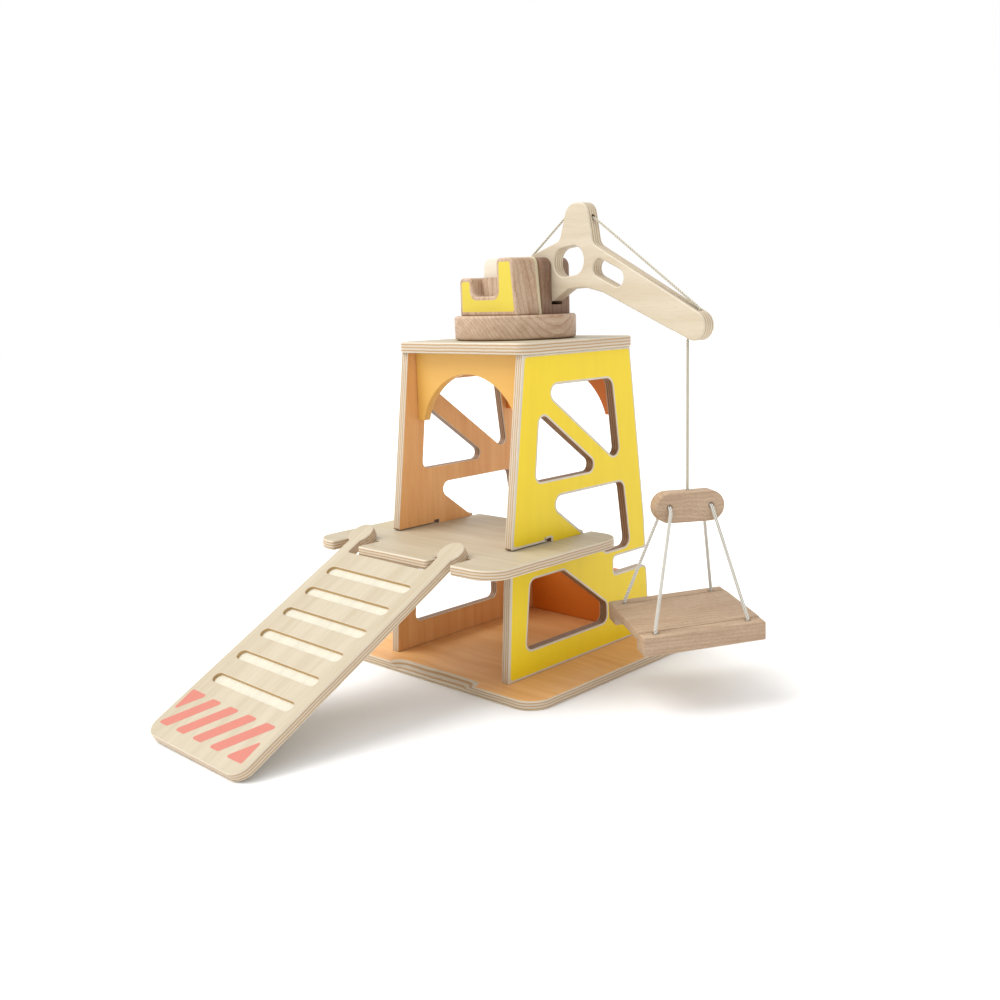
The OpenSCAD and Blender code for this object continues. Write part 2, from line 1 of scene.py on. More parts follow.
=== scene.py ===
"""Looks for the wooden toy tower crane. Every piece is built in millimetres in a frame of its own, placed in
metres in the row frame, and rides on the CAD body that moves it, save the drop cord, which is unparented and
left where it hangs."""
import math

import bpy
from mathutils import Euler, Matrix, Vector
from mathutils.geometry import tessellate_polygon


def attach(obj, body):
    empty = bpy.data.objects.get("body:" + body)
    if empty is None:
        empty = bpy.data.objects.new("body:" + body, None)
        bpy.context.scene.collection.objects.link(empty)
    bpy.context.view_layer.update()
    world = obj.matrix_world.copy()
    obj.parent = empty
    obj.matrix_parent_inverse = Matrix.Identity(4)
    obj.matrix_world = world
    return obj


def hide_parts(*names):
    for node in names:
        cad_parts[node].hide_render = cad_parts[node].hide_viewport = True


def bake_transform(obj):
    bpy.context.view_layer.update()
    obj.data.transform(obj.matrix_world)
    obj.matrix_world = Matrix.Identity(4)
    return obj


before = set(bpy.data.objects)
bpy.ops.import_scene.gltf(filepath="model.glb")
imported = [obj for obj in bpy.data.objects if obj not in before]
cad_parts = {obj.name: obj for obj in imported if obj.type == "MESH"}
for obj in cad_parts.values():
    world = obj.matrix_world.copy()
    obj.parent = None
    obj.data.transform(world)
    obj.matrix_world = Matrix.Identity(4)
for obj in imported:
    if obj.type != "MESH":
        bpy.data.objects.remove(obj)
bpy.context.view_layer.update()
scene = bpy.context.scene

MM = 0.001
X, Y, Z = Vector((1, 0, 0)), Vector((0, 1, 0)), Vector((0, 0, 1))

# ---- Driving dimensions, in millimetres and degrees, the same as the CAD part's ----
PLY = 9.0
WALL_X = 80.0
WALL_TOP = 304.5
ROOF_TOP = 315.0
PLATFORM_Z = 122.0
PLATFORM_TOP = PLATFORM_Z + PLY
PLATFORM_FRONT = -168.0
PLATFORM_REAR = 12.5
LAP_Y = -45.2
ARCH_Y = 68.3
RAMP_ORIGIN = Vector((-9.9, -168.8, 124.8))
RAMP_SLOPE, RAMP_SKEW = 28.87, 0.97
RAMP_HALF_W, RAMP_LEN = 69.4, 241.5
DISC_TOP = 338.0
BOOM_HEADING = -7.0
BOOM_T, BOOM_C = 12.5, 17.0
WINCH = (-20.0, 30.0)
DROP = (203.8, -23.1)
CORD_R = 1.15
DROP_CORD_R = 1.5
SPREADER_TOP = 185.9
SPREADER_R, SPREADER_HALF, SPREADER_T = 13.4, 31.5, 16.5
SLING_X, SLING_Z = 19.0, 173.3
LOAD_HEADING = 55.3
HANG_LONG, HANG_CROSS = 3.0, 4.0
PALLET_Z, PALLET_HALF, PALLET_DEPTH = 78.0, 54.7, 48.4
BATTEN_W, BATTEN_H, DECK_T, RABBET = 19.0, 17.0, 8.0, 6.0
EYE_X, EYE_Y = 41.6, 40.2
EYE_R, CORD_HOLE_R = 2.0, 2.2
KNOT_R, KNOT_POCKET_R = 3.6, 4.4
KNOT_MID = -BATTEN_H + KNOT_R + 0.2
KNOT_TOP = KNOT_MID + KNOT_R
PALLET_SHIFT = -2.6
HOIST_KNOT_Z = SPREADER_TOP - 2 * SPREADER_R + 5.2
WASHER_T = 0.6

# ---- Camera ----
CAMERA_AT = Vector((731.5, -797.1, 354.1)) * MM
CAMERA_YAW, CAMERA_PITCH, CAMERA_ROLL = (math.radians(a) for a in (43.6, -10.42, -1.67))
LENS_MM = 39.48
SENSOR_MM = 36
CLIP_END_M = 20


def add_camera():
    data = bpy.data.cameras.new("camera")
    data.lens = LENS_MM
    data.sensor_width = SENSOR_MM
    data.clip_end = CLIP_END_M
    camera = bpy.data.objects.new("camera", data)
    turn = Matrix.Rotation(CAMERA_YAW, 4, "Z") @ Matrix.Rotation(math.pi / 2 + CAMERA_PITCH, 4, "X")
    camera.matrix_world = Matrix.Translation(CAMERA_AT) @ turn @ Matrix.Rotation(CAMERA_ROLL, 4, "Z")
    scene.collection.objects.link(camera)
    scene.camera = camera


add_camera()


# ---- Frames: each gives the place of a piece's own axes, from millimetres to metres ----
def frame_of(origin, x_axis, y_axis):
    """A frame at origin (mm) with those two axes, and its third axis square to both."""
    x, y = x_axis.normalized(), y_axis.normalized()
    z = x.cross(y)
    turn = Matrix((x, y, z)).transposed().to_4x4()
    return Matrix.Translation(Vector(origin) * MM) @ turn


def flat_frame(z):
    return frame_of((0, 0, z), X, Y)


def turret_frame():
    """Its X runs along the boom and its Z up, from the top of the turntable."""
    return Matrix.Translation(Z * DISC_TOP * MM) @ Matrix.Rotation(math.radians(BOOM_HEADING), 4, "Z")


def upright(base, y):
    """From a frame with Z up: a board's frame with x along X and y up, its middle at y."""
    return base @ Matrix.Translation(Y * y * MM) @ Matrix.Rotation(math.pi / 2, 4, "X")


def load_frame():
    """Its X runs along the spreader bar and its Z up, from the floor under the boom's tip."""
    turret = Matrix.Rotation(math.radians(BOOM_HEADING), 4, "Z")
    down = turret @ Matrix.Translation(Vector((DROP[0], BOOM_C, 0)) * MM)
    return down @ Matrix.Rotation(math.radians(LOAD_HEADING - BOOM_HEADING), 4, "Z")


def pallet_frame():
    """Its origin is the middle of the pallet's top, and it hangs a little uneven."""
    along = Matrix.Rotation(math.radians(-HANG_LONG), 4, "Y")
    tilt = along @ Matrix.Rotation(math.radians(HANG_CROSS), 4, "X")
    return load_frame() @ Matrix.Translation(Vector((PALLET_SHIFT, 0, PALLET_Z)) * MM) @ tilt


def ramp_frame():
    """Its X runs across the ramp, its Y up the slope to the hook edge, and its top face is at 0."""
    slope = Matrix.Rotation(math.radians(RAMP_SLOPE), 4, "X")
    turn = slope @ Matrix.Rotation(math.radians(-RAMP_SKEW), 4, "Z")
    return Matrix.Translation(RAMP_ORIGIN * MM) @ turn


# ---- Outlines ----
ARC_STEPS = 8
EDGE_ROUND = 0.5
LEAST_ROUND = 0.05
# Corners that turn less than this stay plain points
SMALL_TURN = math.radians(31)
# A radius just under half of a slot's width leaves its two round ends apart
ALMOST_HALF = 0.999


def counter_clockwise(points):
    area = sum(a[0] * b[1] - b[0] * a[1] for a, b in zip(points, points[1:] + points[:1]))
    return list(points) if area > 0 else list(reversed(points))


def outline(corners, inset=0.0, soft=0.0):
    """Points of a rounded outline, drawn inwards by inset. corners are (x, y) or (x, y, radius).
    Corners that stick out get a radius of at least soft."""
    corners = counter_clockwise([tuple(c) + (EDGE_ROUND,) * (3 - len(c)) for c in corners])
    points = []
    for i, (x, y, radius) in enumerate(corners):
        p = Vector((x, y))
        before = (p - Vector(corners[i - 1][:2])).normalized()
        after = (Vector(corners[(i + 1) % len(corners)][:2]) - p).normalized()
        left_a, left_b = Vector((-before.y, before.x)), Vector((-after.y, after.x))
        p = p + inset * (left_a + left_b) / (1 + left_a.dot(left_b))
        turn = math.atan2(before.x * after.y - before.y * after.x, before.dot(after))
        if abs(turn) < SMALL_TURN:
            points.append(p)
            continue
        side = 1 if turn > 0 else -1
        radius = max(radius - side * inset, LEAST_ROUND)
        if side > 0:
            radius = max(radius, soft)
        start = p - before * radius * math.tan(abs(turn) / 2)
        middle = start + side * left_a * radius
        for k in range(ARC_STEPS + 1):
            arm = start - middle
            arm.rotate(Matrix.Rotation(turn * k / ARC_STEPS, 2))
            points.append(middle + arm)
    return points


def circle(x, y, r, steps=12):
    """Corners of a round hole or post, as an outline."""
    at = [2 * math.pi * k / steps for k in range(steps)]
    return [(x + r * math.cos(a), y + r * math.sin(a)) for a in at]


def box_outline(x0, x1, y0, y1, r=0):
    return [(x0, y0, r), (x1, y0, r), (x1, y1, r), (x0, y1, r)]


def stadium(a, b, r):
    """A slot with round ends between the points a and b."""
    along = (Vector(b) - Vector(a)).normalized()
    across = Vector((-along.y, along.x))
    ends = [Vector(a) - along * r, Vector(b) + along * r]
    wide = across * r
    corners = [ends[0] - wide, ends[1] - wide, ends[1] + wide, ends[0] + wide]
    return [(c.x, c.y, ALMOST_HALF * r) for c in corners]


# ---- Meshes ----
# Edges between faces at a steeper angle than this stay sharp
SHARP = math.radians(38)
BEVEL_STEPS = 3
POCKET_LIP = 0.35


class Build:
    """Collects a mesh's points and faces. Each face has a material index and is flat or smooth."""

    def __init__(self):
        self.points, self.faces, self.marks = [], [], []

    def ring(self, flat_points, z):
        first = len(self.points)
        self.points += [(p[0], p[1], z) for p in flat_points]
        return list(range(first, len(self.points)))

    def face(self, corners, material=0, smooth=False):
        self.faces.append(corners)
        self.marks.append((material, smooth))

    def band(self, upper, lower, flip=False, material=0, smooth=True):
        """Faces between two rings of as many points. They face outwards from a ring that runs
        counter-clockwise, or inwards with flip."""
        for i in range(len(upper)):
            k = (i + 1) % len(upper)
            quad = [lower[i], lower[k], upper[k], upper[i]]
            self.face(quad[::-1] if flip else quad, material, smooth)

    def bands(self, rings, **how):
        for upper, lower in zip(rings, rings[1:]):
            self.band(upper, lower, **how)

    def cap(self, rings, up=True, material=0):
        """Fills the first ring around the others, which are holes."""
        flat = [[Vector(self.points[i]) for i in ring] for ring in rings]
        index = [i for ring in rings for i in ring]
        for a, b, c in tessellate_polygon(flat):
            p, q, r = (Vector(self.points[index[k]]) for k in (a, b, c))
            faces_up = (q - p).cross(r - p).z > 0
            corners = [index[a], index[b], index[c]]
            self.face(corners if faces_up == up else corners[::-1], material)

    def piece(self, name, at, body, materials, slot, replaces=()):
        """Makes the mesh a piece that rides on the body and stands for the CAD nodes in replaces."""
        mesh = bpy.data.meshes.new(name)
        mesh.from_pydata([Vector(p) * MM for p in self.points], [], self.faces)
        for polygon, (material, smooth) in zip(mesh.polygons, self.marks):
            polygon.material_index = material
            polygon.use_smooth = smooth
        mark_sharp(mesh)
        obj = bpy.data.objects.new(name, mesh)
        scene.collection.objects.link(obj)
        for material in materials:
            mesh.materials.append(material)
        obj.matrix_world = at
        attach(obj, body)
        if replaces:
            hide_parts(*replaces)
        return obj


def mark_sharp(mesh):
    normals = {}
    for polygon in mesh.polygons:
        for key in polygon.edge_keys:
            normals.setdefault(key, []).append(polygon.normal.copy())
    for edge in mesh.edges:
        sides = normals.get(edge.key, [])
        edge.use_edge_sharp = len(sides) == 2 and sides[0].angle(sides[1], 0) > SHARP


def edge_profile(z, away, bevel):
    """(inset, z) from a flat face at z round its softened edge; away is +1 on top and -1 below."""
    if bevel == 0:
        return [(0.0, z)]
    turns = [k / BEVEL_STEPS * math.pi / 2 for k in range(BEVEL_STEPS + 1)]
    return [(bevel * (1 - math.sin(t)), z - away * bevel * (1 - math.cos(t))) for t in turns]


def add_board(build, outer, holes, z0, z1, top=0.8, bottom=0.8, border=None, soft=0.0, hole_side=0,
              pockets=()):
    """A board from z0 to z1, with edges softened by top and bottom. border is how far a print on
    the top face, in material 1, stays from every edge, and soft rounds that print's corners.
    hole_side is the material inside the holes. pockets are (outline, depth) cut into the top
    face, in material 2 with floors in material 3."""
    profile = edge_profile(z1, 1, top) + edge_profile(z0, -1, bottom)[::-1]
    caps_top, caps_low, inner = [], [], []
    for n, corners in enumerate([outer] + list(holes)):
        side = 1 if n == 0 else -1
        rings = [build.ring(outline(corners, side * inset), z) for inset, z in profile]
        build.bands(rings, flip=n > 0, material=hole_side if n > 0 else 0)
        caps_top.append(rings[0])
        caps_low.append(rings[-1])
        if border is not None:
            inner.append(build.ring(outline(corners, side * border, soft), z1))
            build.band(inner[-1], rings[0], flip=n > 0, smooth=False)
    pocket_rings = [add_pocket(build, corners, depth, z1) for corners, depth in pockets]
    if border is None:
        build.cap(caps_top + pocket_rings)
    else:
        build.cap(inner + pocket_rings, material=1)
    build.cap(caps_low, up=False)


def add_pocket(build, corners, depth, z1):
    """A pocket milled into the top face at z1. Returns its rim."""
    lip = build.ring(outline(corners, -POCKET_LIP), z1)
    wall = build.ring(outline(corners), z1 - POCKET_LIP)
    foot = build.ring(outline(corners), z1 - depth + POCKET_LIP)
    floor = build.ring(outline(corners, POCKET_LIP), z1 - depth)
    build.band(lip, wall, flip=True)
    build.bands([wall, foot, floor], flip=True, material=2)
    build.cap([floor], material=3)
    return lip


def board(name, outer, at, body, materials, slot, holes=(), t=PLY, replaces=(), **more):
    """One board as a piece, centred on its frame's own z."""
    build = Build()
    add_board(build, outer, holes, -t / 2, t / 2, **more)
    return build.piece(name, at, body, materials, slot, replaces)


def add_lathe(build, profile, steps=48, material=0):
    """A turned solid round z, from (radius, z) points that start and end on the axis."""
    turns = [2 * math.pi * k / steps for k in range(steps)]
    rings = []
    for r, z in profile:
        around = [(r * math.cos(a), r * math.sin(a)) for a in turns]
        rings.append(build.ring(around, z) if r > 0 else None)
    for i, (upper, lower) in enumerate(zip(rings, rings[1:])):
        if upper and lower:
            build.band(upper, lower, material=material)
        elif lower:
            build.cap([lower], material=material)
        elif upper:
            build.cap([upper], up=False, material=material)


# ---- Materials ----
NOISE_ROUGHNESS = 0.55


class Paint:
    """Builds one material's nodes. Each call adds a node and returns its result. Places are in
    millimetres: offset moves the pattern, so that no two pieces look the same."""

    def __init__(self, name, offset=0.0):
        self.material = bpy.data.materials.new(name)
        self.material.use_nodes = True
        self.nodes = self.material.node_tree.nodes
        self.links = self.material.node_tree.links
        self.shader = self.nodes["Principled BSDF"]
        where = self.nodes.new("ShaderNodeTexCoord")
        self.normal = where.outputs["Normal"]
        self.at = self.vector("MULTIPLY_ADD", where.outputs["Object"], (1 / MM,) * 3, (offset,) * 3)
        plain = self.vector("MULTIPLY", where.outputs["Object"], (1 / MM,) * 3)
        self.x, self.y, self.z = self.parts(plain)

    def put(self, socket, value):
        if isinstance(value, bpy.types.NodeSocket):
            self.links.new(value, socket)
        else:
            socket.default_value = value

    def add(self, kind, *values, **settings):
        """Adds a node with its inputs filled in order, and returns its outputs."""
        node = self.nodes.new("ShaderNode" + kind)
        for key, value in settings.items():
            setattr(node, key, value)
        for socket, value in zip(node.inputs, values):
            self.put(socket, value)
        return node.outputs

    def vector(self, operation, *values):
        return self.add("VectorMath", *values, operation=operation)[0]

    def parts(self, vector):
        return self.add("SeparateXYZ", vector)[:]

    def joined(self, x, y, z):
        return self.add("CombineXYZ", x, y, z)[0]

    def math(self, operation, *values, clamp=False):
        return self.add("Math", *values, operation=operation, use_clamp=clamp)[0]

    def noise(self, stretch, detail=3.0, vector=None):
        """Noise whose grains are 1 / stretch long, in mm, along each axis."""
        node = self.nodes.new("ShaderNodeTexNoise")
        self.put(node.inputs["Vector"], self.vector("MULTIPLY", vector or self.at, stretch))
        node.inputs["Scale"].default_value = 1.0
        node.inputs["Detail"].default_value = detail
        node.inputs["Roughness"].default_value = NOISE_ROUGHNESS
        return node.outputs[0]

    def span(self, value, low, high, to_low=0.0, to_high=1.0):
        """The value, taken from the range low to high to the range to_low to to_high."""
        return self.add("MapRange", value, low, high, to_low, to_high)[0]

    def mix(self, share, a, b):
        node = self.nodes.new("ShaderNodeMix")
        node.data_type = "RGBA"
        self.put(node.inputs[0], share)
        self.put(node.inputs[6], a)
        self.put(node.inputs[7], b)
        return node.outputs[2]

    def ramp(self, value, stops):
        node = self.nodes.new("ShaderNodeValToRGB")
        elements = node.color_ramp.elements
        while len(elements) < len(stops):
            elements.new(0.5)
        for element, (place, colour) in zip(elements, stops):
            element.position = place
            element.color = colour
        self.put(node.inputs[0], value)
        return node.outputs[0]

    def finish(self, colour, roughness, bump=None, depth=0.02, coat=0.0, sheen=0.0):
        """Sets the shader. depth is the bump's height in millimetres."""
        self.put(self.shader.inputs["Base Color"], colour)
        self.put(self.shader.inputs["Roughness"], roughness)
        self.shader.inputs["Specular IOR Level"].default_value = 0.4
        self.shader.inputs["Coat Weight"].default_value = coat
        self.shader.inputs["Coat Roughness"].default_value = 0.3
        self.shader.inputs["Sheen Weight"].default_value = sheen
        if bump is not None:
            node = self.nodes.new("ShaderNodeBump")
            node.inputs["Distance"].default_value = depth * MM
            node.inputs["Strength"].default_value = 1.0
            self.put(node.inputs["Height"], bump)
            self.put(self.shader.inputs["Normal"], node.outputs[0])
        return self.material


# How much of the light the palest surfaces send back
REFLECTS = 0.8


def rgb(r, g, b):
    """A surface's linear colour from the 0 to 255 numbers it should show under this light."""
    def linear(v):
        v /= 255
        return REFLECTS * (v / 12.92 if v <= 0.04045 else ((v + 0.055) / 1.055) ** 2.4)
    return (linear(r), linear(g), linear(b), 1.0)


BIRCH, BIRCH_DARK = rgb(202, 190, 165), rgb(182, 165, 135)
BOOM_BIRCH, BOOM_DARK, BOOM_LAYER = rgb(220, 207, 184), rgb(200, 182, 152), rgb(196, 166, 122)
# Birch tinted orange: painted bounce light from the orange and yellow panels; on the base it is partly the
# base's own warmer tone too
WARM_TONE_AND_BOUNCE, WARM_TONE_AND_BOUNCE_DARK = rgb(252, 196, 130), rgb(228, 160, 92)
EDGE_LIGHT, EDGE_DARK = rgb(232, 222, 202), rgb(200, 162, 118)
# Darker layers for the walls of windows and slots: painted shade inside the cuts
SHADED_CUT_LIGHT, SHADED_CUT_DARK = rgb(176, 136, 96), rgb(122, 80, 46)
BARE, CREAM, PLATE_FACE = rgb(228, 218, 202), rgb(244, 232, 194), rgb(248, 236, 214)
YELLOW, CAB_YELLOW = rgb(252, 220, 22), rgb(230, 208, 66)
# The deep orange is the same stain made darker and redder: painted shade for the panels inside the tower
ORANGE, ORANGE_SHADED = rgb(238, 184, 92), rgb(236, 130, 36)
BEECH_LIGHT, BEECH_DARK = rgb(208, 182, 154), rgb(172, 140, 110)
TURRET_LIGHT, TURRET_DARK = rgb(232, 208, 182), rgb(178, 140, 108)
# The boom block's beech is much darker than the rest: painted shade of the boom on its cheeks
BLOCK_SHADE_LIGHT, BLOCK_SHADE_DARK = rgb(160, 128, 104), rgb(120, 88, 68)
GROOVE_WALL, GROOVE_FLOOR = rgb(212, 178, 124), rgb(232, 226, 206)
SALMON = rgb(206, 116, 97)
CORD_LIGHT, CORD_DARK = rgb(236, 230, 212), rgb(176, 162, 132)
SLING_LIGHT, SLING_DARK = rgb(246, 244, 236), rgb(214, 208, 194)
# Darker sling tones for the grooves between the strands: painted shade
SLING_GROOVE_SHADE, SLING_GROOVE_DARK = rgb(206, 198, 180), rgb(160, 150, 130)
ZINC, ZINC_DARK = rgb(196, 196, 192), rgb(160, 162, 164)


def shade(colour, share):
    return tuple(share * c for c in colour[:3]) + (1.0,)


def face_grain(p, light, dark, across_y=False):
    """Pale wood figure on a board's faces: broad soft bands, fine lines, flecks and short pores."""
    def along(a, b):
        return (b, a, a) if across_y else (a, b, b)
    swirl = p.noise((0.012,) * 3, detail=2)
    bent = p.vector("ADD", p.at, p.joined(0.0, p.span(swirl, 0, 1, -9, 9), 0.0))
    broad = p.noise(along(0.006, 0.09), detail=3, vector=bent)
    fine = p.noise(along(0.03, 0.9), detail=4, vector=bent)
    fleck = p.noise(along(0.22, 2.6), detail=2)
    pore = p.noise(along(0.09, 1.7), detail=1, vector=bent)
    tone = p.math("ADD", p.span(broad, 0.35, 0.68, 0, 0.7), p.span(fine, 0.35, 0.7, 0, 0.35))
    colour = p.mix(p.math("MULTIPLY", tone, 0.75, clamp=True), light, dark)
    colour = p.mix(p.span(fleck, 0.64, 0.78, 0, 0.4), colour, shade(dark, 0.7))
    return p.mix(p.span(pore, 0.7, 0.8, 0, 0.35), colour, shade(dark, 0.6)), fine


# A board's layers are about this thick, in mm. Every second one is darker, and as thick as this
# share of the others. The last number is how far one fades into the next
LAYER_T, DARK_LAYER, LAYER_BLUR = 1.7, 0.72, 0.1


def layered_edge(p, t, light, dark):
    """The sawn edge of plywood: its layers along z, each with its own fine streaks."""
    wave = p.span(p.noise((0.03, 0.03, 0.0), detail=2), 0, 1, -0.7, 0.7)
    depth = p.math("ADD", p.math("DIVIDE", p.math("ADD", p.z, wave), t), 0.5)
    layers = max(3, 2 * round(t / (2 * LAYER_T)) + 1)
    widths = [DARK_LAYER if k % 2 else 1.0 for k in range(layers)]
    stops, run = [], 0.0
    for k, width in enumerate(widths):
        colour = shade(dark if k % 2 else light, 1.0 - 0.05 * ((k * 5) % 3))
        soft = LAYER_BLUR * width
        stops += [((run + soft) / sum(widths), colour), ((run + width - soft) / sum(widths), colour)]
        run += width
    colour = p.ramp(depth, stops)
    streaks = p.noise((0.12, 0.12, 5.0), detail=4)
    specks = p.noise((2.2, 2.2, 0.7), detail=3)
    rough = p.math("ADD", p.span(streaks, 0.3, 0.7, 0, 0.24), p.span(specks, 0.35, 0.7, 0, 0.2))
    return p.mix(rough, colour, shade(dark, 0.66)), streaks


def plywood(name, offset, t=PLY, light=BIRCH, dark=BIRCH_DARK, edge=EDGE_LIGHT, edge_dark=EDGE_DARK,
            across_y=False):
    """Faces show the outer veneer; everything cut below them shows the layers."""
    p = Paint(name, offset)
    face, fine = face_grain(p, light, dark, across_y)
    sawn, streaks = layered_edge(p, t, edge, edge_dark)
    facing = p.span(p.math("ABSOLUTE", p.parts(p.normal)[2]), 0.80, 0.93)
    outside = p.span(p.math("ABSOLUTE", p.z), t / 2 - 0.5, t / 2 - 0.25)
    on_face = p.math("MULTIPLY", facing, outside)
    bump = p.mix(on_face, streaks, fine)
    return p.finish(p.mix(on_face, sawn, face), p.span(fine, 0.3, 0.7, 0.42, 0.55), bump, depth=0.05)


def milled(name, offset, light, across_y=False):
    """The rough wood inside a milled groove, in one layer of the board."""
    p = Paint(name, offset)
    face, fine = face_grain(p, light, shade(light, 0.8), across_y)
    specks = p.noise((1.1, 1.1, 1.1), detail=4)
    colour = p.mix(p.span(specks, 0.5, 0.68, 0, 0.5), face, shade(light, 0.7))
    return p.finish(colour, 0.7, specks, depth=0.12)


def printed(name, offset, colour, across_y=False):
    """A satin print on wood: the grain shows faintly through it, and its layer is a little uneven."""
    p = Paint(name, offset)
    face, fine = face_grain(p, colour, shade(colour, 0.9), across_y)
    cloud = p.noise((0.02,) * 3, detail=3)
    peel = p.noise((0.8,) * 3, detail=2)
    tinted = p.mix(p.span(cloud, 0.3, 0.7, 0.1, 0.55), face, colour)
    bump = p.math("ADD", p.math("MULTIPLY", fine, 0.6), p.math("MULTIPLY", peel, 0.4))
    return p.finish(tinted, p.span(peel, 0.3, 0.7, 0.34, 0.46), bump, depth=0.03)


# Where a beech piece's heart lies outside it, and how far apart its growth rings are, in mm
HEART_A, HEART_B, RING_WIDTH = 46.0, 30.0, 3.4


def beech(name, offset, grain="X", light=BEECH_LIGHT, dark=BEECH_DARK):
    """Solid beech: growth rings round a heart that lies outside the piece, and short flecks."""
    p = Paint(name, offset)
    x, y, z = p.parts(p.at)
    along, a, b = {"X": (x, y, z), "Y": (y, z, x), "Z": (z, x, y)}[grain]
    wave = p.noise((0.03,) * 3, detail=3)
    a = p.math("ADD", p.math("ADD", a, HEART_A), p.span(wave, 0, 1, -5, 5))
    b = p.math("ADD", p.math("ADD", b, HEART_B), p.math("MULTIPLY", along, 0.04))
    radius = p.math("SQRT", p.math("ADD", p.math("MULTIPLY", a, a), p.math("MULTIPLY", b, b)))
    ring = p.math("FRACT", p.math("DIVIDE", radius, RING_WIDTH))
    own = p.joined(along, a, b)
    broad = p.noise((0.02, 0.12, 0.12), detail=2, vector=own)
    fibre = p.noise((0.16, 2.4, 2.4), detail=4, vector=own)
    fleck = p.noise((0.75, 3.2, 3.2), detail=2, vector=own)
    ray = p.noise((0.35, 0.9, 5.0), detail=1, vector=own)
    late = p.math("MULTIPLY", p.math("POWER", ring, 5.0), 0.55)
    tone = p.math("ADD", p.span(broad, 0.3, 0.7, 0, 0.45), p.span(fibre, 0.3, 0.7, 0, 0.45))
    tone = p.math("ADD", late, tone, clamp=True)
    colour = p.mix(tone, light, dark)
    colour = p.mix(p.span(fleck, 0.5, 0.62, 0, 0.6), colour, shade(dark, 0.7))
    colour = p.mix(p.span(ray, 0.64, 0.74, 0, 0.5), colour, shade(dark, 0.6))
    bump = p.math("ADD", fibre, p.math("MULTIPLY", fleck, -0.6))
    return p.finish(colour, p.span(fibre, 0.3, 0.7, 0.5, 0.62), bump, depth=0.06)


def cotton(name, light, dark):
    """Soft cotton: its strands are in the mesh, and this is their fuzz."""
    p = Paint(name)
    fuzz = p.noise((1.4, 1.4, 1.4), detail=4)
    fibre = p.noise((6.0, 6.0, 6.0), detail=2)
    colour = p.mix(p.span(fuzz, 0.3, 0.7, 0.05, 0.6), light, dark)
    return p.finish(colour, 0.9, fibre, depth=0.1, sheen=0.3)


def steel(name):
    p = Paint(name)
    brushed = p.noise((0.6, 6.0, 0.6), detail=3)
    colour = p.mix(brushed, ZINC, ZINC_DARK)
    p.shader.inputs["Metallic"].default_value = 1.0
    return p.finish(colour, p.span(brushed, 0.3, 0.7, 0.28, 0.45), brushed, depth=0.01)


COTTON = cotton("cotton_cord", CORD_LIGHT, CORD_DARK)
# The groove copies are darker: painted shade in the grooves between a cord's strands
COTTON_GROOVE_SHADE = cotton("cotton_cord_groove", CORD_DARK, shade(CORD_DARK, 0.6))
WHITE_COTTON = cotton("white_cotton_cord", SLING_LIGHT, SLING_DARK)
WHITE_GROOVE_SHADE = cotton("white_cotton_cord_groove", SLING_GROOVE_SHADE, SLING_GROOVE_DARK)
STEEL = steel("zinc_steel")

# ---- Tower ----
WALL_Y_LOW, WALL_Y_MID, WALL_Y_TOP = 108.5, 100.0, 78.0
# The slot that the platform slides into, and the small relief above its inner end
SLOT_LOW, SLOT_HIGH = PLATFORM_Z - 0.2, PLATFORM_TOP + 0.8
SLOT_MID, SLOT_REACH = PLATFORM_Z + PLY / 2, PLY / 2 + 3.5
RELIEF_LEN, RELIEF_H = 7.0, 2.5
# The notch in a side panel's rear edge
NOTCH_Y, NOTCH_LOW, NOTCH_HIGH = 48.8, 80.5, 97.9
PRINT_BORDER, PRINT_ROUND = 2.3, 3.5
WINDOWS = [
    [(-56.2, 275.3, 7.5), (60.2, 190.9, 7.5), (48.3, 275.3, 9.5)],
    [(-57.4, 252.9, 6.5), (-64.7, 189, 6.5), (31.4, 189, 6.5)],
    [(-53.8, 172, 8), (36.7, 105.5, 8), (74.9, 105.5, 8), (64.7, 172, 8)],
    [(-75.2, 99.8, 7), (-83, 34.5, 7), (36, 34.5, 7), (36, 53.5, 7), (-28.5, 99.8, 7)],
]


def wall_y(z):
    """Half depth of a side panel at height z."""
    if z < PLATFORM_TOP:
        return WALL_Y_LOW - (WALL_Y_LOW - WALL_Y_MID) * (z - PLY) / (PLATFORM_TOP - PLY)
    return WALL_Y_MID - (WALL_Y_MID - WALL_Y_TOP) * (z - PLATFORM_TOP) / (WALL_TOP - PLATFORM_TOP)


def wall_outline():
    """The corners of a side panel as (y, z, radius), with the platform's slot at its front."""
    lap = LAP_Y + 0.2
    relief_y, relief_top = lap - RELIEF_LEN, SLOT_HIGH + RELIEF_H
    return [
        (-wall_y(PLY), PLY), (wall_y(PLY), PLY),
        (wall_y(NOTCH_LOW), NOTCH_LOW, 7), (NOTCH_Y, NOTCH_LOW, 4),
        (NOTCH_Y, NOTCH_HIGH, 4), (wall_y(NOTCH_HIGH), NOTCH_HIGH, 1),
        (wall_y(PLATFORM_TOP), PLATFORM_TOP), (wall_y(WALL_TOP), WALL_TOP),
        (-wall_y(WALL_TOP), WALL_TOP), (-wall_y(SLOT_HIGH), SLOT_HIGH, 1.5),
        (relief_y, SLOT_HIGH, 0.3), (relief_y, relief_top, 1.2),
        (lap, relief_top, 1.2), (lap, SLOT_LOW), (-wall_y(SLOT_LOW), SLOT_LOW, 1.5),
    ]


def paint_bounce_and_slot_shade(build, side):
    """Marks the panel's inner face with the orange-tinted birch, painted bounce light from the orange
    panels, and the walls of its slot with the dark cut edge, painted shade.
    """
    def in_slot(x, y):
        return side * x < LAP_Y + 1 and abs(y - SLOT_MID) < SLOT_REACH
    for i, face in enumerate(build.faces):
        points = [build.points[k] for k in face]
        smooth = build.marks[i][1]
        if all(z < 1 - PLY / 2 for x, y, z in points):
            build.marks[i] = (3, smooth)
        elif all(in_slot(x, y) for x, y, z in points) and any(z < PLY / 2 - 1 for x, y, z in points):
            build.marks[i] = (2, smooth)


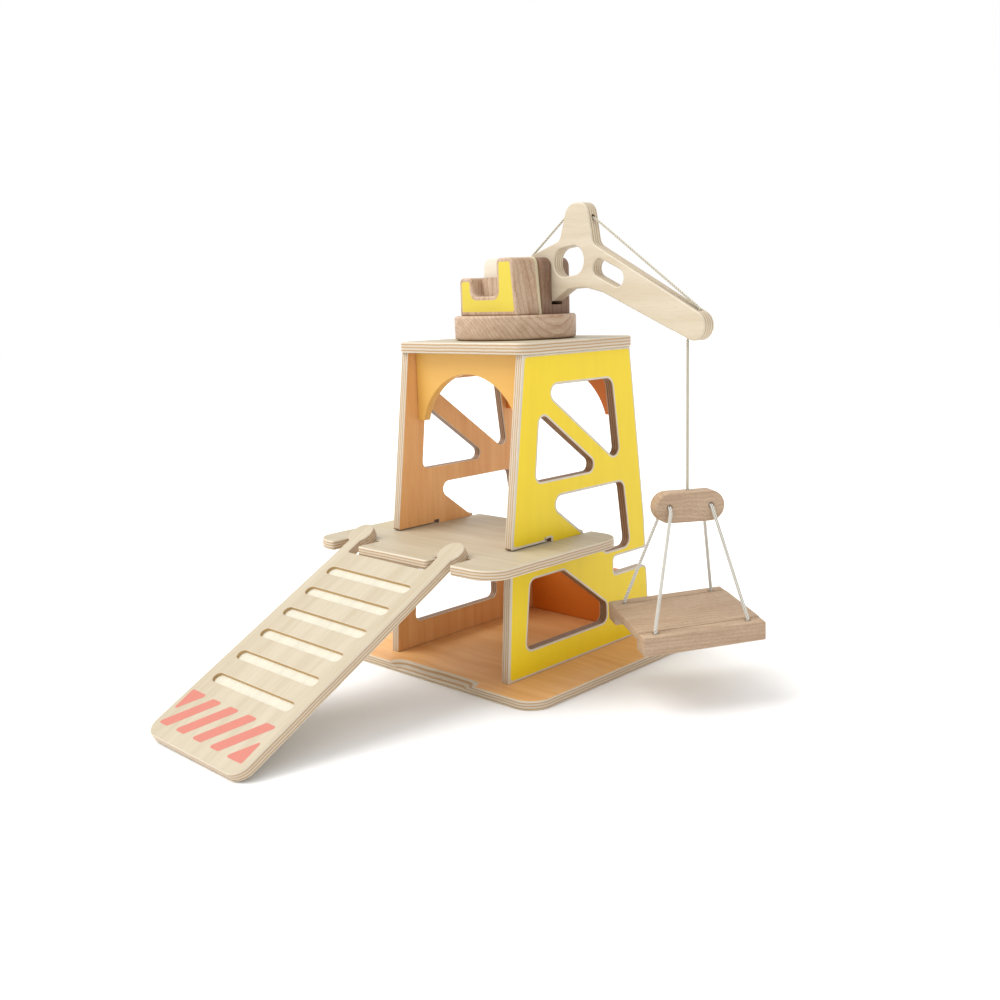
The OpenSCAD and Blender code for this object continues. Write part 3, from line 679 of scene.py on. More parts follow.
def side_panel(name, side):
    """side is +1 for the +X wall. The printed face is the outer one."""
    offset = 40.0 * side
    # The inner face's birch is tinted orange: painted bounce light from the orange panels
    wood = plywood(name + "_wood", offset, light=WARM_TONE_AND_BOUNCE, dark=WARM_TONE_AND_BOUNCE_DARK, across_y=True)
    bare = plywood(name + "_bare", offset, light=BARE, dark=BIRCH, across_y=True)
    # The walls of the windows and of the slot take darker layers: painted shade inside the cuts
    inside = plywood(name + "_cut", offset, light=BARE, edge=SHADED_CUT_LIGHT, edge_dark=SHADED_CUT_DARK)
    paint = printed(name + "_print", offset, YELLOW, across_y=True)
    at = frame_of((side * (WALL_X - PLY / 2), 0, 0), Y * side, Z)
    shapes = [[(side * c[0],) + tuple(c[1:]) for c in shape] for shape in [wall_outline()] + WINDOWS]
    build = Build()
    add_board(build, shapes[0], shapes[1:], -PLY / 2, PLY / 2, border=PRINT_BORDER, soft=PRINT_ROUND,
              hole_side=2)
    paint_bounce_and_slot_shade(build, side)
    build.piece(name + "_board", at, "tower", [bare, paint, inside, wood], "yellow_plywood", [name])


ARCH_R, ARCH_MIDDLE, ARCH_FOOT, ARCH_STEPS = 65.5, 219.0, 238.0, 40
LOW_PANEL_Y, LOW_PANEL_TOP = 94.0, 70.0


def arch_outline():
    half = WALL_X - PLY
    low = math.asin((ARCH_FOOT - ARCH_MIDDLE) / ARCH_R)
    turns = [low + (math.pi - 2 * low) * k / ARCH_STEPS for k in range(ARCH_STEPS + 1)]
    arc = [(ARCH_R * math.cos(a), ARCH_MIDDLE + ARCH_R * math.sin(a)) for a in turns]
    sides = [(half, ARCH_FOOT, 2), (half, WALL_TOP), (-half, WALL_TOP), (-half, ARCH_FOOT, 2)]
    return sides + arc[::-1]


def cross_wall(name, y, shape, offset, colour):
    """A board stained all over; its grain shows a little."""
    stain = printed(name + "_stain", offset, colour)
    board(name + "_board", shape, frame_of((0, y, 0), X, Z), "tower", [stain], "orange_plywood",
          replaces=[name], top=1.0, bottom=1.0)


BASE_X, BASE_Y, BASE_R = 131.0, 132.0, 22.0
# The thinned stretch of the base's front edge: its full and its fading half width, its depth and
# its drop, the power of its curve, and how many faces it takes
DRIVE_ON_X, DRIVE_ON_FADE, DRIVE_ON_DEPTH, DRIVE_ON_DROP = 40.0, 22.0, 14.5, 5.5
DRIVE_ON_CURVE, DRIVE_ON_STEPS, DRIVE_ON_ROWS = 1.15, 62, 8


def smooth_step(share):
    share = min(max(share, 0.0), 1.0)
    return share * share * (3 - 2 * share)


def front_drop(x, y):
    """How far the base's top is lowered at (x, y), so that a toy car can drive on."""
    share = smooth_step((DRIVE_ON_X + DRIVE_ON_FADE - abs(x)) / DRIVE_ON_FADE)
    run = min(max((-BASE_Y + DRIVE_ON_DEPTH - y) / DRIVE_ON_DEPTH, 0.0), 1.0)
    return DRIVE_ON_DROP * share * run ** DRIVE_ON_CURVE


def lower_front(build, front, along, half):
    """Adds the drive-on stretch as rows of faces behind the points of the front edge. Returns its
    left side, its last row and its right side."""
    left, right = [front[0]], [front[-1]]
    y_front = build.points[front[0]][1]
    for row in range(1, DRIVE_ON_ROWS + 1):
        y = y_front + (DRIVE_ON_DEPTH + 1) * row / DRIVE_ON_ROWS
        first = len(build.points)
        build.points += [(x, y, half - front_drop(x, y)) for x in along]
        line = list(range(first, len(build.points)))
        for k in range(len(along) - 1):
            build.face([front[k], front[k + 1], line[k + 1], line[k]], 0, True)
        left.append(line[0])
        right.append(line[-1])
        front = line
    return left, front, right


def base():
    reach = DRIVE_ON_X + DRIVE_ON_FADE
    along = [reach * (2 * k / DRIVE_ON_STEPS - 1) for k in range(DRIVE_ON_STEPS + 1)]
    outer = [(-BASE_X, -BASE_Y, BASE_R)] + [(x, -BASE_Y) for x in along]
    outer += [(BASE_X, -BASE_Y, BASE_R), (BASE_X, BASE_Y, BASE_R), (-BASE_X, BASE_Y, BASE_R)]
    build = Build()
    half = PLY / 2
    profile = edge_profile(half, 1, 1.3) + edge_profile(-half, -1, 1.0)[::-1]
    rings = [build.ring(outline(outer, inset), z) for inset, z in profile]
    start, end = ARC_STEPS + 1, ARC_STEPS + 1 + len(along)
    for ring in rings[:BEVEL_STEPS + 1]:
        for i, x in zip(ring[start:end], along):
            px, py, pz = build.points[i]
            build.points[i] = (px, py, pz - front_drop(x, -BASE_Y))
    build.bands(rings)
    top = rings[0]
    left, back, right = lower_front(build, top[start:end], along, half)
    build.cap([top[:start] + left + back[1:-1] + right[::-1] + top[end:]])
    build.cap([rings[-1]], up=False)
    # The base's orange tint is partly its own tone and partly painted bounce light from the panels
    wood = plywood("base_wood", 11.0, light=WARM_TONE_AND_BOUNCE, dark=WARM_TONE_AND_BOUNCE_DARK)
    build.piece("base_board", flat_frame(half), "tower", [wood], "plywood", ["base_plate"])


ROOF_X, ROOF_Y, ROOF_R = 84.5, 81.5, 12.0


def tower():
    base()
    roof_t = ROOF_TOP - WALL_TOP
    roof = box_outline(-ROOF_X, ROOF_X, -ROOF_Y, ROOF_Y, ROOF_R)
    board("roof_board", roof, flat_frame((ROOF_TOP + WALL_TOP) / 2), "tower",
          [plywood("roof_wood", 83.0, roof_t)], "plywood", t=roof_t, replaces=["top_plate"],
          top=1.6, bottom=1.0)
    side_panel("side_panel_right", 1)
    side_panel("side_panel_left", -1)
    cross_wall("front_arch_panel", -ARCH_Y + PLY / 2, arch_outline(), 5.0, ORANGE)
    # The rear panels take the darker copy of the orange: painted shade inside the tower
    cross_wall("rear_arch_panel", ARCH_Y - PLY / 2, arch_outline(), 25.0, ORANGE_SHADED)
    low_panel = box_outline(PLY - WALL_X, WALL_X - PLY, PLY, LOW_PANEL_TOP)
    cross_wall("rear_low_panel", LOW_PANEL_Y + PLY / 2, low_panel, 65.0, ORANGE_SHADED)


# ---- Platform and ramp ----
PLATFORM_X, PLATFORM_R, PLATFORM_GAP = 120.0, 23.0, 0.4
# The notches for the ramp's hooks, as (left x, right x). The right one is wider behind its mouth
NOTCH_LEFT, NOTCH_RIGHT = (-89, -53), (41, 69.5)
NOTCH_BACK, SHOULDER_Y, POCKET_MORE = -137.4, -155.5, 4.4


def platform():
    front, rear = PLATFORM_FRONT, PLATFORM_REAR
    inner, outer = WALL_X - PLY - PLATFORM_GAP, WALL_X + PLATFORM_GAP
    lap = LAP_Y - 0.2
    left, left_in = NOTCH_LEFT
    right_in, right = NOTCH_RIGHT
    pocket = right_in - POCKET_MORE
    corners = [
        (-PLATFORM_X, front, PLATFORM_R), (left, front, 3), (left, NOTCH_BACK, 4),
        (left_in, NOTCH_BACK, 5), (left_in, front, 3),
        (right_in, front, 3), (right_in, SHOULDER_Y, 0.5), (pocket, SHOULDER_Y, 0.5),
        (pocket, NOTCH_BACK, 4), (right, NOTCH_BACK, 4), (right, front, 3),
        (PLATFORM_X, front, PLATFORM_R), (PLATFORM_X, rear, PLATFORM_R),
        (outer, rear), (outer, lap), (inner, lap), (inner, rear),
        (-inner, rear), (-inner, lap), (-outer, lap), (-outer, rear), (-PLATFORM_X, rear, PLATFORM_R),
    ]
    board("platform_board", corners, flat_frame(PLATFORM_Z + PLY / 2), "platform",
          [plywood("platform_wood", 52.0)], "plywood", replaces=["middle_platform"], top=1.3, bottom=1.0)


GROOVES, GROOVE_FIRST, GROOVE_PITCH = 6, 27.6, 28.65
GROOVE_HALF, GROOVE_R, GROOVE_DEPTH = 56.7, 5.2, 3.0
# The hooks: (x of the arm's inner side, x of the lobe's middle)
LOBE_R, LOBE_Y, HOOK_EDGE, NECK_ROUND = 13.1, 25.4, -1.6, 2.5
HOOK_RIGHT, HOOK_LEFT, LOBE_STEPS = (52.0, 60.3), (55.8, 64.8), 26
RAMP_R = 14.0


def hook_corners(arm, lobe_x):
    """A hook on the ramp's +X side, from its outer side round its lobe to the hook edge. arm is
    the x of the arm's inner side."""
    low = LOBE_Y - math.sqrt(LOBE_R ** 2 - (RAMP_HALF_W - lobe_x) ** 2)
    neck = LOBE_Y - math.sqrt(LOBE_R ** 2 - (lobe_x - arm) ** 2)
    start = math.atan2(low - LOBE_Y, RAMP_HALF_W - lobe_x)
    end = math.atan2(neck - LOBE_Y, arm - lobe_x) + 2 * math.pi
    turns = [start + (end - start) * k / LOBE_STEPS for k in range(1, LOBE_STEPS)]
    lobe = [(lobe_x + LOBE_R * math.cos(a), LOBE_Y + LOBE_R * math.sin(a)) for a in turns]
    inner = [(arm, neck, NECK_ROUND), (arm, HOOK_EDGE, NECK_ROUND)]
    return [(RAMP_HALF_W, low, NECK_ROUND)] + lobe + inner


# The printed bars at the ramp's foot: four slanted ones between two triangles
BAR_FIRST, BAR_PITCH, BAR_W, BAR_SLANT = -30.8, 25.9, 14.4, 33.8
BAR_TOP, BAR_FOOT = -190.8, -229.0
STRIPES = [
    [(-64.1, -189.8), (-40.9, -190.2), (-63.4, -214.3)],
    [(60.6, -205.5), (61.1, -229.7), (38.5, -229.9)],
]
for bar in range(4):
    left = BAR_FIRST + bar * BAR_PITCH
    STRIPES.append([
        (left, BAR_TOP), (left + BAR_W, BAR_TOP),
        (left + BAR_W - BAR_SLANT, BAR_FOOT), (left - BAR_SLANT, BAR_FOOT),
    ])
STRIPE_ROUND, STRIPE_T = 1.8, 0.06


def ramp():
    w = RAMP_HALF_W
    right = hook_corners(*HOOK_RIGHT)
    left = [(-c[0],) + tuple(c[1:]) for c in hook_corners(*HOOK_LEFT)[::-1]]
    outer = [(-w, -RAMP_LEN, RAMP_R), (w, -RAMP_LEN, RAMP_R)] + right + left
    ends = GROOVE_HALF - GROOVE_R
    grooves = []
    for k in range(GROOVES):
        y = -GROOVE_FIRST - k * GROOVE_PITCH
        grooves.append((stadium((-ends, y), (ends, y), GROOVE_R), GROOVE_DEPTH))
    wood = plywood("ramp_wood", 71.0, across_y=True)
    wall = milled("groove_wall", 3.0, GROOVE_WALL)
    floor = milled("groove_floor", 9.0, GROOVE_FLOOR, True)
    at = ramp_frame() @ Matrix.Translation(Z * -PLY / 2 * MM)
    board("ramp_board", outer, at, "ramp", [wood, wood, wall, floor], "plywood", replaces=["ramp"],
          top=1.1, bottom=0.9, pockets=grooves)
    ink = printed("stripe_print", 17.0, SALMON, True)
    build = Build()
    for corners in STRIPES:
        shape = [(x, y, STRIPE_ROUND) for x, y in corners]
        add_board(build, shape, [], -STRIPE_T, STRIPE_T, top=0.0, bottom=0.0)
    build.piece("ramp_stripes", ramp_frame(), "ramp", [ink], "orange_plywood")


# ---- Turret ----
DISC_R, DISC_SOFT, DISC_BEND = 59.0, 2.6, 6
# The cab: half length at its foot and at its top, the heights of its front and its back, and its seat
CAB_X, CAB_TOP_X, CAB_LOW, CAB_HIGH, CAB_T = 42.7, 36.6, 36.0, 53.0, 28.0
SEAT_FRONT, SEAT_BACK, SEAT_Z, SEAT_T = 13.9, -23.3, 18.2, 12.0
CAB_MID, CAB_BACK_MID, CAB_BACK_T = -20.0, -4.0, 4.0
CAB_BACK = [(-41.5, 0), (41.5, 0), (36, 54, 8), (-38, 54, 8)]
BLOCK_X, BLOCK_TOP, BLOCK_MID, BLOCK_HALF = 42.0, 53.0, 16.0, 18.0
BOOM_SLOT, SLOT_FLOOR = BOOM_T / 2 + 0.4, 9.0
# The winch's axle and its knob, and the dowels that hold the boom
AXLE_R, AXLE_END, KNOB_R, KNOB_FOOT, KNOB_TOP = 3.5, 46.0, 10.5, 35.0, 50.0
DOWEL_R, DOWEL_END, DOWELS = 3.0, 34.4, [(20, 21), (32, 42)]
BLIND, PIN_GAP = 3.0, 0.1
WOUND_MID = 4.65


def turret():
    at = turret_frame()
    turntable(at)
    cab(at)
    boom_block(at)
    boom(at)
    winch(at)
    boom_pegs(at)


def turntable(at):
    edge, low = DISC_R - DISC_SOFT, ROOF_TOP + WASHER_T + 0.05 - DISC_TOP
    bend = [k / DISC_BEND * math.pi / 2 for k in range(DISC_BEND + 1)]
    soft = [(DISC_SOFT * math.sin(a), DISC_SOFT * (1 - math.cos(a))) for a in bend]
    upper = [(edge + out, -down) for out, down in soft]
    lower = [(edge + out, low + up) for out, up in soft[::-1]]
    disc = Build()
    add_lathe(disc, [(0, 0)] + upper + lower + [(0, low)], steps=128)
    wood = beech("disc_wood", 7.0, "Y", TURRET_LIGHT, TURRET_DARK)
    disc.piece("turntable", at, "turret", [wood], "beech", ["turntable_disc"])


def cab(at):
    """Two boards: the front one has the seat's notch and the print, and the rear one is full."""
    back = [(-CAB_X, 0, 1.5), (CAB_X, 0, 1.5), (CAB_TOP_X, CAB_HIGH, 5), (SEAT_FRONT, CAB_HIGH, 5)]
    full = back + [(SEAT_FRONT, CAB_LOW, 0.6), (-CAB_X, CAB_LOW, 5)]
    notch = [(SEAT_FRONT, SEAT_Z, 6), (SEAT_BACK, SEAT_Z, 6), (SEAT_BACK, CAB_LOW, 3)]
    seat = back + notch + [(-CAB_X, CAB_LOW, 5)]
    build = Build()
    step = CAB_T / 2 - SEAT_T
    add_board(build, seat, [], step, CAB_T / 2, top=1.6, bottom=0.0, border=3.6, soft=2.0)
    add_board(build, full, [], -CAB_T / 2, step, top=0.0, bottom=0.5)
    wood = beech("cab_wood", 19.0, "Y", TURRET_LIGHT, TURRET_DARK)
    paint = printed("cab_print", 3.0, CAB_YELLOW)
    build.piece("cab", upright(at, CAB_MID), "turret", [wood, paint], "beech", ["cab_block"])
    pale = plywood("cab_back_wood", 31.0, CAB_BACK_T, PLATE_FACE, BARE, edge=CREAM, edge_dark=CREAM)
    board("cab_back", CAB_BACK, upright(at, CAB_BACK_MID), "turret", [pale], "plywood",
          t=CAB_BACK_T, replaces=["cab_back_plate"], top=0.4, bottom=0.4)


def boom_block(at):
    """Two cheeks on a floor. The rear cheek has the holes for the axle and the dowels."""
    foot = [(-BLOCK_X, 0), (BLOCK_X, 0)]
    block = foot + [(BLOCK_X, BLOCK_TOP, 9), (-BLOCK_X, BLOCK_TOP, 4)]
    floor = foot + [(BLOCK_X, SLOT_FLOOR), (-BLOCK_X, SLOT_FLOOR)]
    near, far = BLOCK_MID - (BOOM_C - BOOM_SLOT), BLOCK_MID - (BOOM_C + BOOM_SLOT)
    holes = [circle(*WINCH, AXLE_R + PIN_GAP, 24)] + [circle(s, z, DOWEL_R + PIN_GAP, 24) for s, z in DOWELS]
    build = Build()
    add_board(build, block, [], near, BLOCK_HALF, top=0.8, bottom=0.6)
    add_board(build, block, holes, -BLOCK_HALF, far, top=0.6, bottom=1.4)
    add_board(build, floor, [], far - 0.6, near + 0.6, top=0.0, bottom=0.0)
    # The cheeks take the darkened beech: painted shade from the boom between them
    wood = beech("block_wood", 57.0, "Y", BLOCK_SHADE_LIGHT, BLOCK_SHADE_DARK)
    build.piece("boom_cheeks", upright(at, BLOCK_MID), "turret", [wood], "beech", ["boom_block"])


BOOM_OUTLINE = [
    (8, 12), (43, 12, 3), (64, 22.7, 20), (86.8, 23.6, 30), (109.4, 18.6, 10), (221.2, -27.1, 12.3),
    (231.1, -5.4, 12.3), (97.1, 62.1, 10), (90, 99.8, 12), (63.9, 99.8, 14), (53.4, 67.2, 8),
    (20, 57.6, 6), (8, 53, 2),
]
BOOM_HOLES = [stadium((58, 47), (72, 48.5), 13.2), stadium((105, 40.5), (127, 31), 8)]
HORN_HOLE = [(55, 92.2), (99, 85.2)]
TIP_HOLE = [(219.2, 7.2), (201.6, -27.4)]


def boom(at):
    wood = plywood("boom_wood", 97.0, BOOM_T, BOOM_BIRCH, BOOM_DARK, edge_dark=BOOM_LAYER)
    build = Build()
    add_board(build, BOOM_OUTLINE, BOOM_HOLES, -BOOM_T / 2, BOOM_T / 2, top=1.2, bottom=1.2)
    piece = build.piece("boom_board", upright(at, BOOM_C), "turret", [wood], "plywood", ["boom"])
    drill(piece, HORN_HOLE)
    drill(piece, TIP_HOLE)


def drill(piece, hole):
    """A round hole for the cord through the boom, between two points in the boom's own frame."""
    a, b = (Vector((s, z, 0)) * MM for s, z in hole)
    length = (b - a).length / MM
    tool = Build()
    add_lathe(tool, [(0, length), (CORD_HOLE_R, length), (CORD_HOLE_R, 0), (0, 0)], steps=20)
    mesh = bpy.data.meshes.new("drill")
    mesh.from_pydata([Vector(p) * MM for p in tool.points], [], tool.faces)
    cutter = bpy.data.objects.new("drill", mesh)
    scene.collection.objects.link(cutter)
    aim = (b - a).to_track_quat("Z", "Y").to_matrix().to_4x4()
    cutter.matrix_world = piece.matrix_world @ Matrix.Translation(a) @ aim
    cut = piece.modifiers.new("hole", "BOOLEAN")
    cut.object = cutter
    cut.operation = "DIFFERENCE"
    cut.solver = "EXACT"
    bpy.context.view_layer.update()
    cut_piece = piece.evaluated_get(bpy.context.evaluated_depsgraph_get())
    drilled = bpy.data.meshes.new_from_object(cut_piece)
    piece.modifiers.clear()
    piece.data = drilled
    bpy.data.objects.remove(cutter)


def winch(at):
    """The axle, and its turned knob behind the block."""
    middle = Matrix.Translation(Vector((WINCH[0], 0, WINCH[1])) * MM)
    axle_at = at @ middle @ Matrix.Rotation(-math.pi / 2, 4, "X")
    axle = Build()
    add_lathe(axle, [(0, AXLE_END), (AXLE_R, AXLE_END), (AXLE_R, BLIND), (0, BLIND)], steps=36)
    axle.piece("winch_rod", axle_at, "winch", [beech("axle_wood", 23.0, "Z")], "beech", ["winch_axle"])
    r, top, low = KNOB_R, KNOB_TOP, KNOB_FOOT
    face = [(0, top - 0.6), (3, top - 0.4), (5, top), (r - 2.5, top)]
    rim = [(r - 1, top - 0.6), (r - 0.2, top - 1.8), (r, top - 3.2), (r, top - 6)]
    neck = [(r - 0.5, top - 7.6), (r - 1.9, top - 9), (r - 2.8, top - 10.6), (r - 3, low + 2.6)]
    foot = [(r - 2.6, low + 1.2), (r - 2.2, low + 0.5), (r - 2.6, low), (AXLE_R + PIN_GAP, low), (0, low)]
    knob = Build()
    add_lathe(knob, face + rim + neck + foot, steps=64)
    knob.piece("winch_handle", axle_at, "winch", [beech("knob_wood", 61.0, "Z")], "beech", ["winch_knob"])


def boom_pegs(at):
    r, end = DOWEL_R, DOWEL_END
    pegs = Build()
    for s, z in DOWELS:
        start = len(pegs.points)
        add_lathe(pegs, [(0, end), (r - 0.6, end), (r, end - 0.6), (r, BLIND), (0, BLIND)], steps=24)
        pegs.points[start:] = [(x + s, y - z, c) for x, y, c in pegs.points[start:]]
    peg_at = at @ Matrix.Rotation(-math.pi / 2, 4, "X")
    pegs.piece("boom_pegs", peg_at, "turret", [beech("peg_wood", 5.0, "Z")], "beech", ["boom_dowels"])


# ---- Steel fixings ----
BOLT_R, HEAD_R, HEAD_T, HEAD_DEPTH = 3.0, 7.0, 5.0, 5.4
NUT_R, NUT_T, THREAD_PITCH, THREAD_DEPTH = 5.8, 5.0, 0.5, 0.45
WASHER_R, WASHER_LOW_T = 9.0, 1.2
WASHER_LOW = WALL_TOP - WASHER_LOW_T
NUT_LOW = WASHER_LOW - NUT_T
SCREWS = [(x * 75.5, y * 80) for x in (-1, 1) for y in (-1, 1)] + [(x * 45, 98.5) for x in (-1, 1)]
# A countersunk screw from its head to its tip, and its hexagon socket, as (radius, z)
SCREW_PROFILE = [(3.5, 0.35), (3.6, 0.6), (1.75, 2.7), (1.75, 31), (0.8, 32)]
SOCKET_MOUTH, SOCKET_FLOOR = (1.6, 0.35), (1.5, 2.0)


def add_washer(build, z0, z1):
    hole = circle(0, 0, BOLT_R + PIN_GAP, 24)
    add_board(build, circle(0, 0, WASHER_R, 40), [hole], z0, z1, top=0.15, bottom=0.15)


def bolt_profile():
    """From the head that sits in the turntable, down through the roof to the thread in the nut."""
    head = DISC_TOP - HEAD_DEPTH
    shank = BOLT_R - PIN_GAP
    profile = [(0, head + HEAD_T), (HEAD_R, head + HEAD_T - 0.6), (HEAD_R, head), (shank, head)]
    profile.append((shank, WASHER_LOW))
    z = WASHER_LOW
    while z > NUT_LOW - 1:
        profile += [(BOLT_R, z - THREAD_PITCH / 2), (BOLT_R - THREAD_DEPTH, z - THREAD_PITCH)]
        z -= THREAD_PITCH
    return profile + [(BOLT_R - 0.8, NUT_LOW - 2), (0, NUT_LOW - 2)]


def add_screw(build, x, y):
    def ring(size, steps=24):
        return build.ring(circle(x, y, size[0], steps), size[1])
    rims = [ring(size) for size in SCREW_PROFILE]
    for low, high in zip(rims, rims[1:]):
        build.band(high, low)
    build.cap([rims[-1]])
    mouth, floor = ring(SOCKET_MOUTH, 6), ring(SOCKET_FLOOR, 6)
    build.cap([rims[0], mouth], up=False)
    build.band(floor, mouth, flip=True, smooth=False)
    build.cap([floor], up=False)


def fixings():
    washers, nut, bolt, screws = Build(), Build(), Build(), Build()
    add_washer(washers, WASHER_LOW, WALL_TOP)
    add_washer(washers, ROOF_TOP, ROOF_TOP + WASHER_T)
    bore = circle(0, 0, BOLT_R - PIN_GAP, 24)
    add_board(nut, circle(0, 0, NUT_R, 6), [bore], NUT_LOW, WASHER_LOW, top=0.6, bottom=0.6)
    add_lathe(bolt, bolt_profile(), steps=32)
    for x, y in SCREWS:
        add_screw(screws, x, y)
    pieces = [
        (washers, "pivot_washers", "turret_washers"), (nut, "pivot_nut", "turret_nut"),
        (bolt, "pivot_bolt", "turret_bolt"), (screws, "board_screws", "wall_screws"),
    ]
    for build, name, node in pieces:
        build.piece(name, flat_frame(0), "tower", [STEEL], "zinc_steel", [node])


# ---- Cords ----
STRANDS, LAY_PITCH, STRAND_SIDES = 3, 8.0, 8
# A strand's radius as a share of the cord's, and the length of its faces in mm
STRAND_SHARE, STRAND_STEP = 0.48, 0.8
SLING_CORD_R = 1.75


def evenly(points, step):
    """Points about a step apart along the route's straight stretches."""
    points = [Vector(p) for p in points]
    out = [points[0]]
    for a, b in zip(points, points[1:]):
        n = max(1, round((b - a).length / step))
        out += [a.lerp(b, k / n) for k in range(1, n + 1)]
    return out


def smoothed(points, times=3):
    """Rounds the corners, and leaves both ends where they are."""
    for _ in range(times):
        middle = [(a + 2 * b + c) / 4 for a, b, c in zip(points, points[1:], points[2:])]
        points = [points[0]] + middle + [points[-1]]
    return points


def rope(build, route, radius=CORD_R, flat=Y):
    """A laid cord along the route: strands that wind round its line. flat is square to the route."""
    line = smoothed(evenly(route, STRAND_STEP))
    strand_r = radius * STRAND_SHARE
    arm = radius - strand_r
    run = 0.0
    rings = [[] for _ in range(STRANDS)]
    for i, p in enumerate(line):
        ahead = (line[min(i + 1, len(line) - 1)] - line[max(i - 1, 0)]).normalized()
        side = flat.cross(ahead).normalized()
        across = ahead.cross(side)
        if i:
            run += (p - line[i - 1]).length
        for s in range(STRANDS):
            turn = 2 * math.pi * (run / LAY_PITCH + s / STRANDS)
            out = side * math.cos(turn) + across * math.sin(turn)
            first = len(build.points)
            for k in range(STRAND_SIDES):
                a = 2 * math.pi * k / STRAND_SIDES + turn
                ring_out = side * math.cos(a) + across * math.sin(a)
                build.points.append(tuple(p + out * arm + ring_out * strand_r))
            rings[s].append(list(range(first, len(build.points))))
    for strand in rings:
        for a, b in zip(strand, strand[1:]):
            for i in range(STRAND_SIDES):
                k = (i + 1) % STRAND_SIDES
                # The inner half of each strand, down in the grooves, takes the darker material: painted
                # shade
                in_groove_shade = 1 < i < STRAND_SIDES - 2
                build.face([a[i], a[k], b[k], b[i]], int(in_groove_shade), True)
        build.face(strand[0][::-1])
        build.face(strand[-1])


CORD_ROUTE = [
    (-23.53, 36.05), (0, 49.8), (25, 67), (45, 80.7), (54.5, 87.2), (58.5, 89.9), (62, 91),
    (89, 86.7), (93, 85.3), (97, 83.1), (102, 80), (120, 68), (150, 48), (180, 28),
    (208, 9.3), (213, 6.2), (215.6, 4.1), (216.6, 1.7), (214.9, -1.4), (205.6, -19.6),
    (203.8, -22), DROP,
]


# A cord pulled into a knot is thinner, and this direction is never along its loop
KNOT_TIGHT, KNOT_FLAT = 0.95, Vector((0.31, 0.22, 0.92)).normalized()


def knot(build, centre, radius):
    """A small overhand knot: the cord once through its own loop."""
    steps = 54
    scale = (radius - CORD_R) / 3
    path = []
    for k in range(steps + 1):
        t = 2 * math.pi * k / steps
        x = math.sin(t) + 2 * math.sin(2 * t)
        y = math.cos(t) - 2 * math.cos(2 * t)
        path.append(Vector(centre) + scale * Vector((x, y, -1.5 * math.sin(3 * t))))
    rope(build, path, CORD_R * KNOT_TIGHT, flat=KNOT_FLAT)


TURNS, TURN_STEPS = 4, 28


def wound_turns():
    """The turns on the winch's axle, touching side by side."""
    path = []
    for k in range(TURNS * TURN_STEPS + 1):
        a = 2 * math.pi * k / TURN_STEPS
        y = BOOM_C + 2 * CORD_R * (k / TURN_STEPS - TURNS / 2)
        path.append((WOUND_MID * math.sin(a), y, WOUND_MID * math.cos(a)))
    build = Build()
    rope(build, path, flat=Y)
    at = turret_frame() @ Matrix.Translation(Vector((WINCH[0], 0, WINCH[1])) * MM)
    build.piece("winch_rope", at, "winch", [COTTON, COTTON_GROOVE_SHADE], "cotton_cord", ["winch_cord_turns"])


def cords():
    cord = [COTTON, COTTON_GROOVE_SHADE]
    hoist = Build()
    rope(hoist, [(s, BOOM_C, z) for s, z in CORD_ROUTE])
    hoist.piece("hoist_rope", turret_frame(), "turret", cord, "cotton_cord", ["hoist_cord"])
    wound_turns()
    at = load_frame()
    drop = Build()
    drop_z = DISC_TOP + DROP[1]
    rope(drop, [(0, 0, drop_z), (0, 0, SPREADER_TOP - 3)], DROP_CORD_R)
    hanging = drop.piece("drop_rope", at, "line", cord, "cotton_cord", ["drop_cord"])
    hanging.parent = None
    top, low = at @ (Z * drop_z * MM), at @ (Z * SPREADER_TOP * MM)
    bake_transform(hanging)
    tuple(top)
    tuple(low)
    tied = Build()
    knot(tied, (0, 0, HOIST_KNOT_Z), KNOT_R)
    rope(tied, [(0, 0, HOIST_KNOT_Z), (0, 0, SPREADER_TOP)])
    tied.piece("hoist_rope_knot", at, "knot", cord, "cotton_cord", ["hoist_knot"])


# ---- Load ----
def hung(point):
    """A point given from the middle of the pallet's top, in the load's frame, in mm."""
    turn = Euler((math.radians(HANG_CROSS), math.radians(-HANG_LONG), 0)).to_matrix()
    return turn @ Vector(point) + Vector((PALLET_SHIFT, 0, PALLET_Z))


def load():
    middle = SPREADER_TOP - SPREADER_R
    ends = SPREADER_HALF - SPREADER_R
    bar = stadium((-ends, middle), (ends, middle), SPREADER_R)
    holes = [circle(x, SLING_Z, EYE_R) for x in (-SLING_X, SLING_X)]
    board("spreader", bar, upright(load_frame(), 0), "load", [beech("spreader_wood", 13.0)], "beech",
          holes=holes, t=SPREADER_T, replaces=["spreader_bar"], top=1.7, bottom=1.7)
    pallet()
    slings()


BATTEN_ROUND, DECK_GAP = 0.8, 0.15


def add_batten(build, side):
    """A batten from its knot pockets up to its top, with a ledge for the deck on its inner side."""
    out, inner = side * PALLET_DEPTH, side * (PALLET_DEPTH - BATTEN_W)
    ledge = side * (PALLET_DEPTH - (BATTEN_W - RABBET))
    eyes = [circle(x, side * EYE_Y, EYE_R, 20) for x in (-EYE_X, EYE_X)]
    pockets = [circle(x, side * EYE_Y, KNOT_POCKET_R, 20) for x in (-EYE_X, EYE_X)]
    lower = box_outline(-PALLET_HALF, PALLET_HALF, *sorted((out, inner)), BATTEN_ROUND)
    upper = box_outline(-PALLET_HALF, PALLET_HALF, *sorted((out, ledge)), BATTEN_ROUND)
    add_board(build, lower, pockets, -BATTEN_H, KNOT_TOP, top=0.0, bottom=1.0)
    add_board(build, lower, eyes, KNOT_TOP, -DECK_T, top=0.0, bottom=0.0)
    add_board(build, upper, eyes, -DECK_T, 0, top=1.7, bottom=0.0)


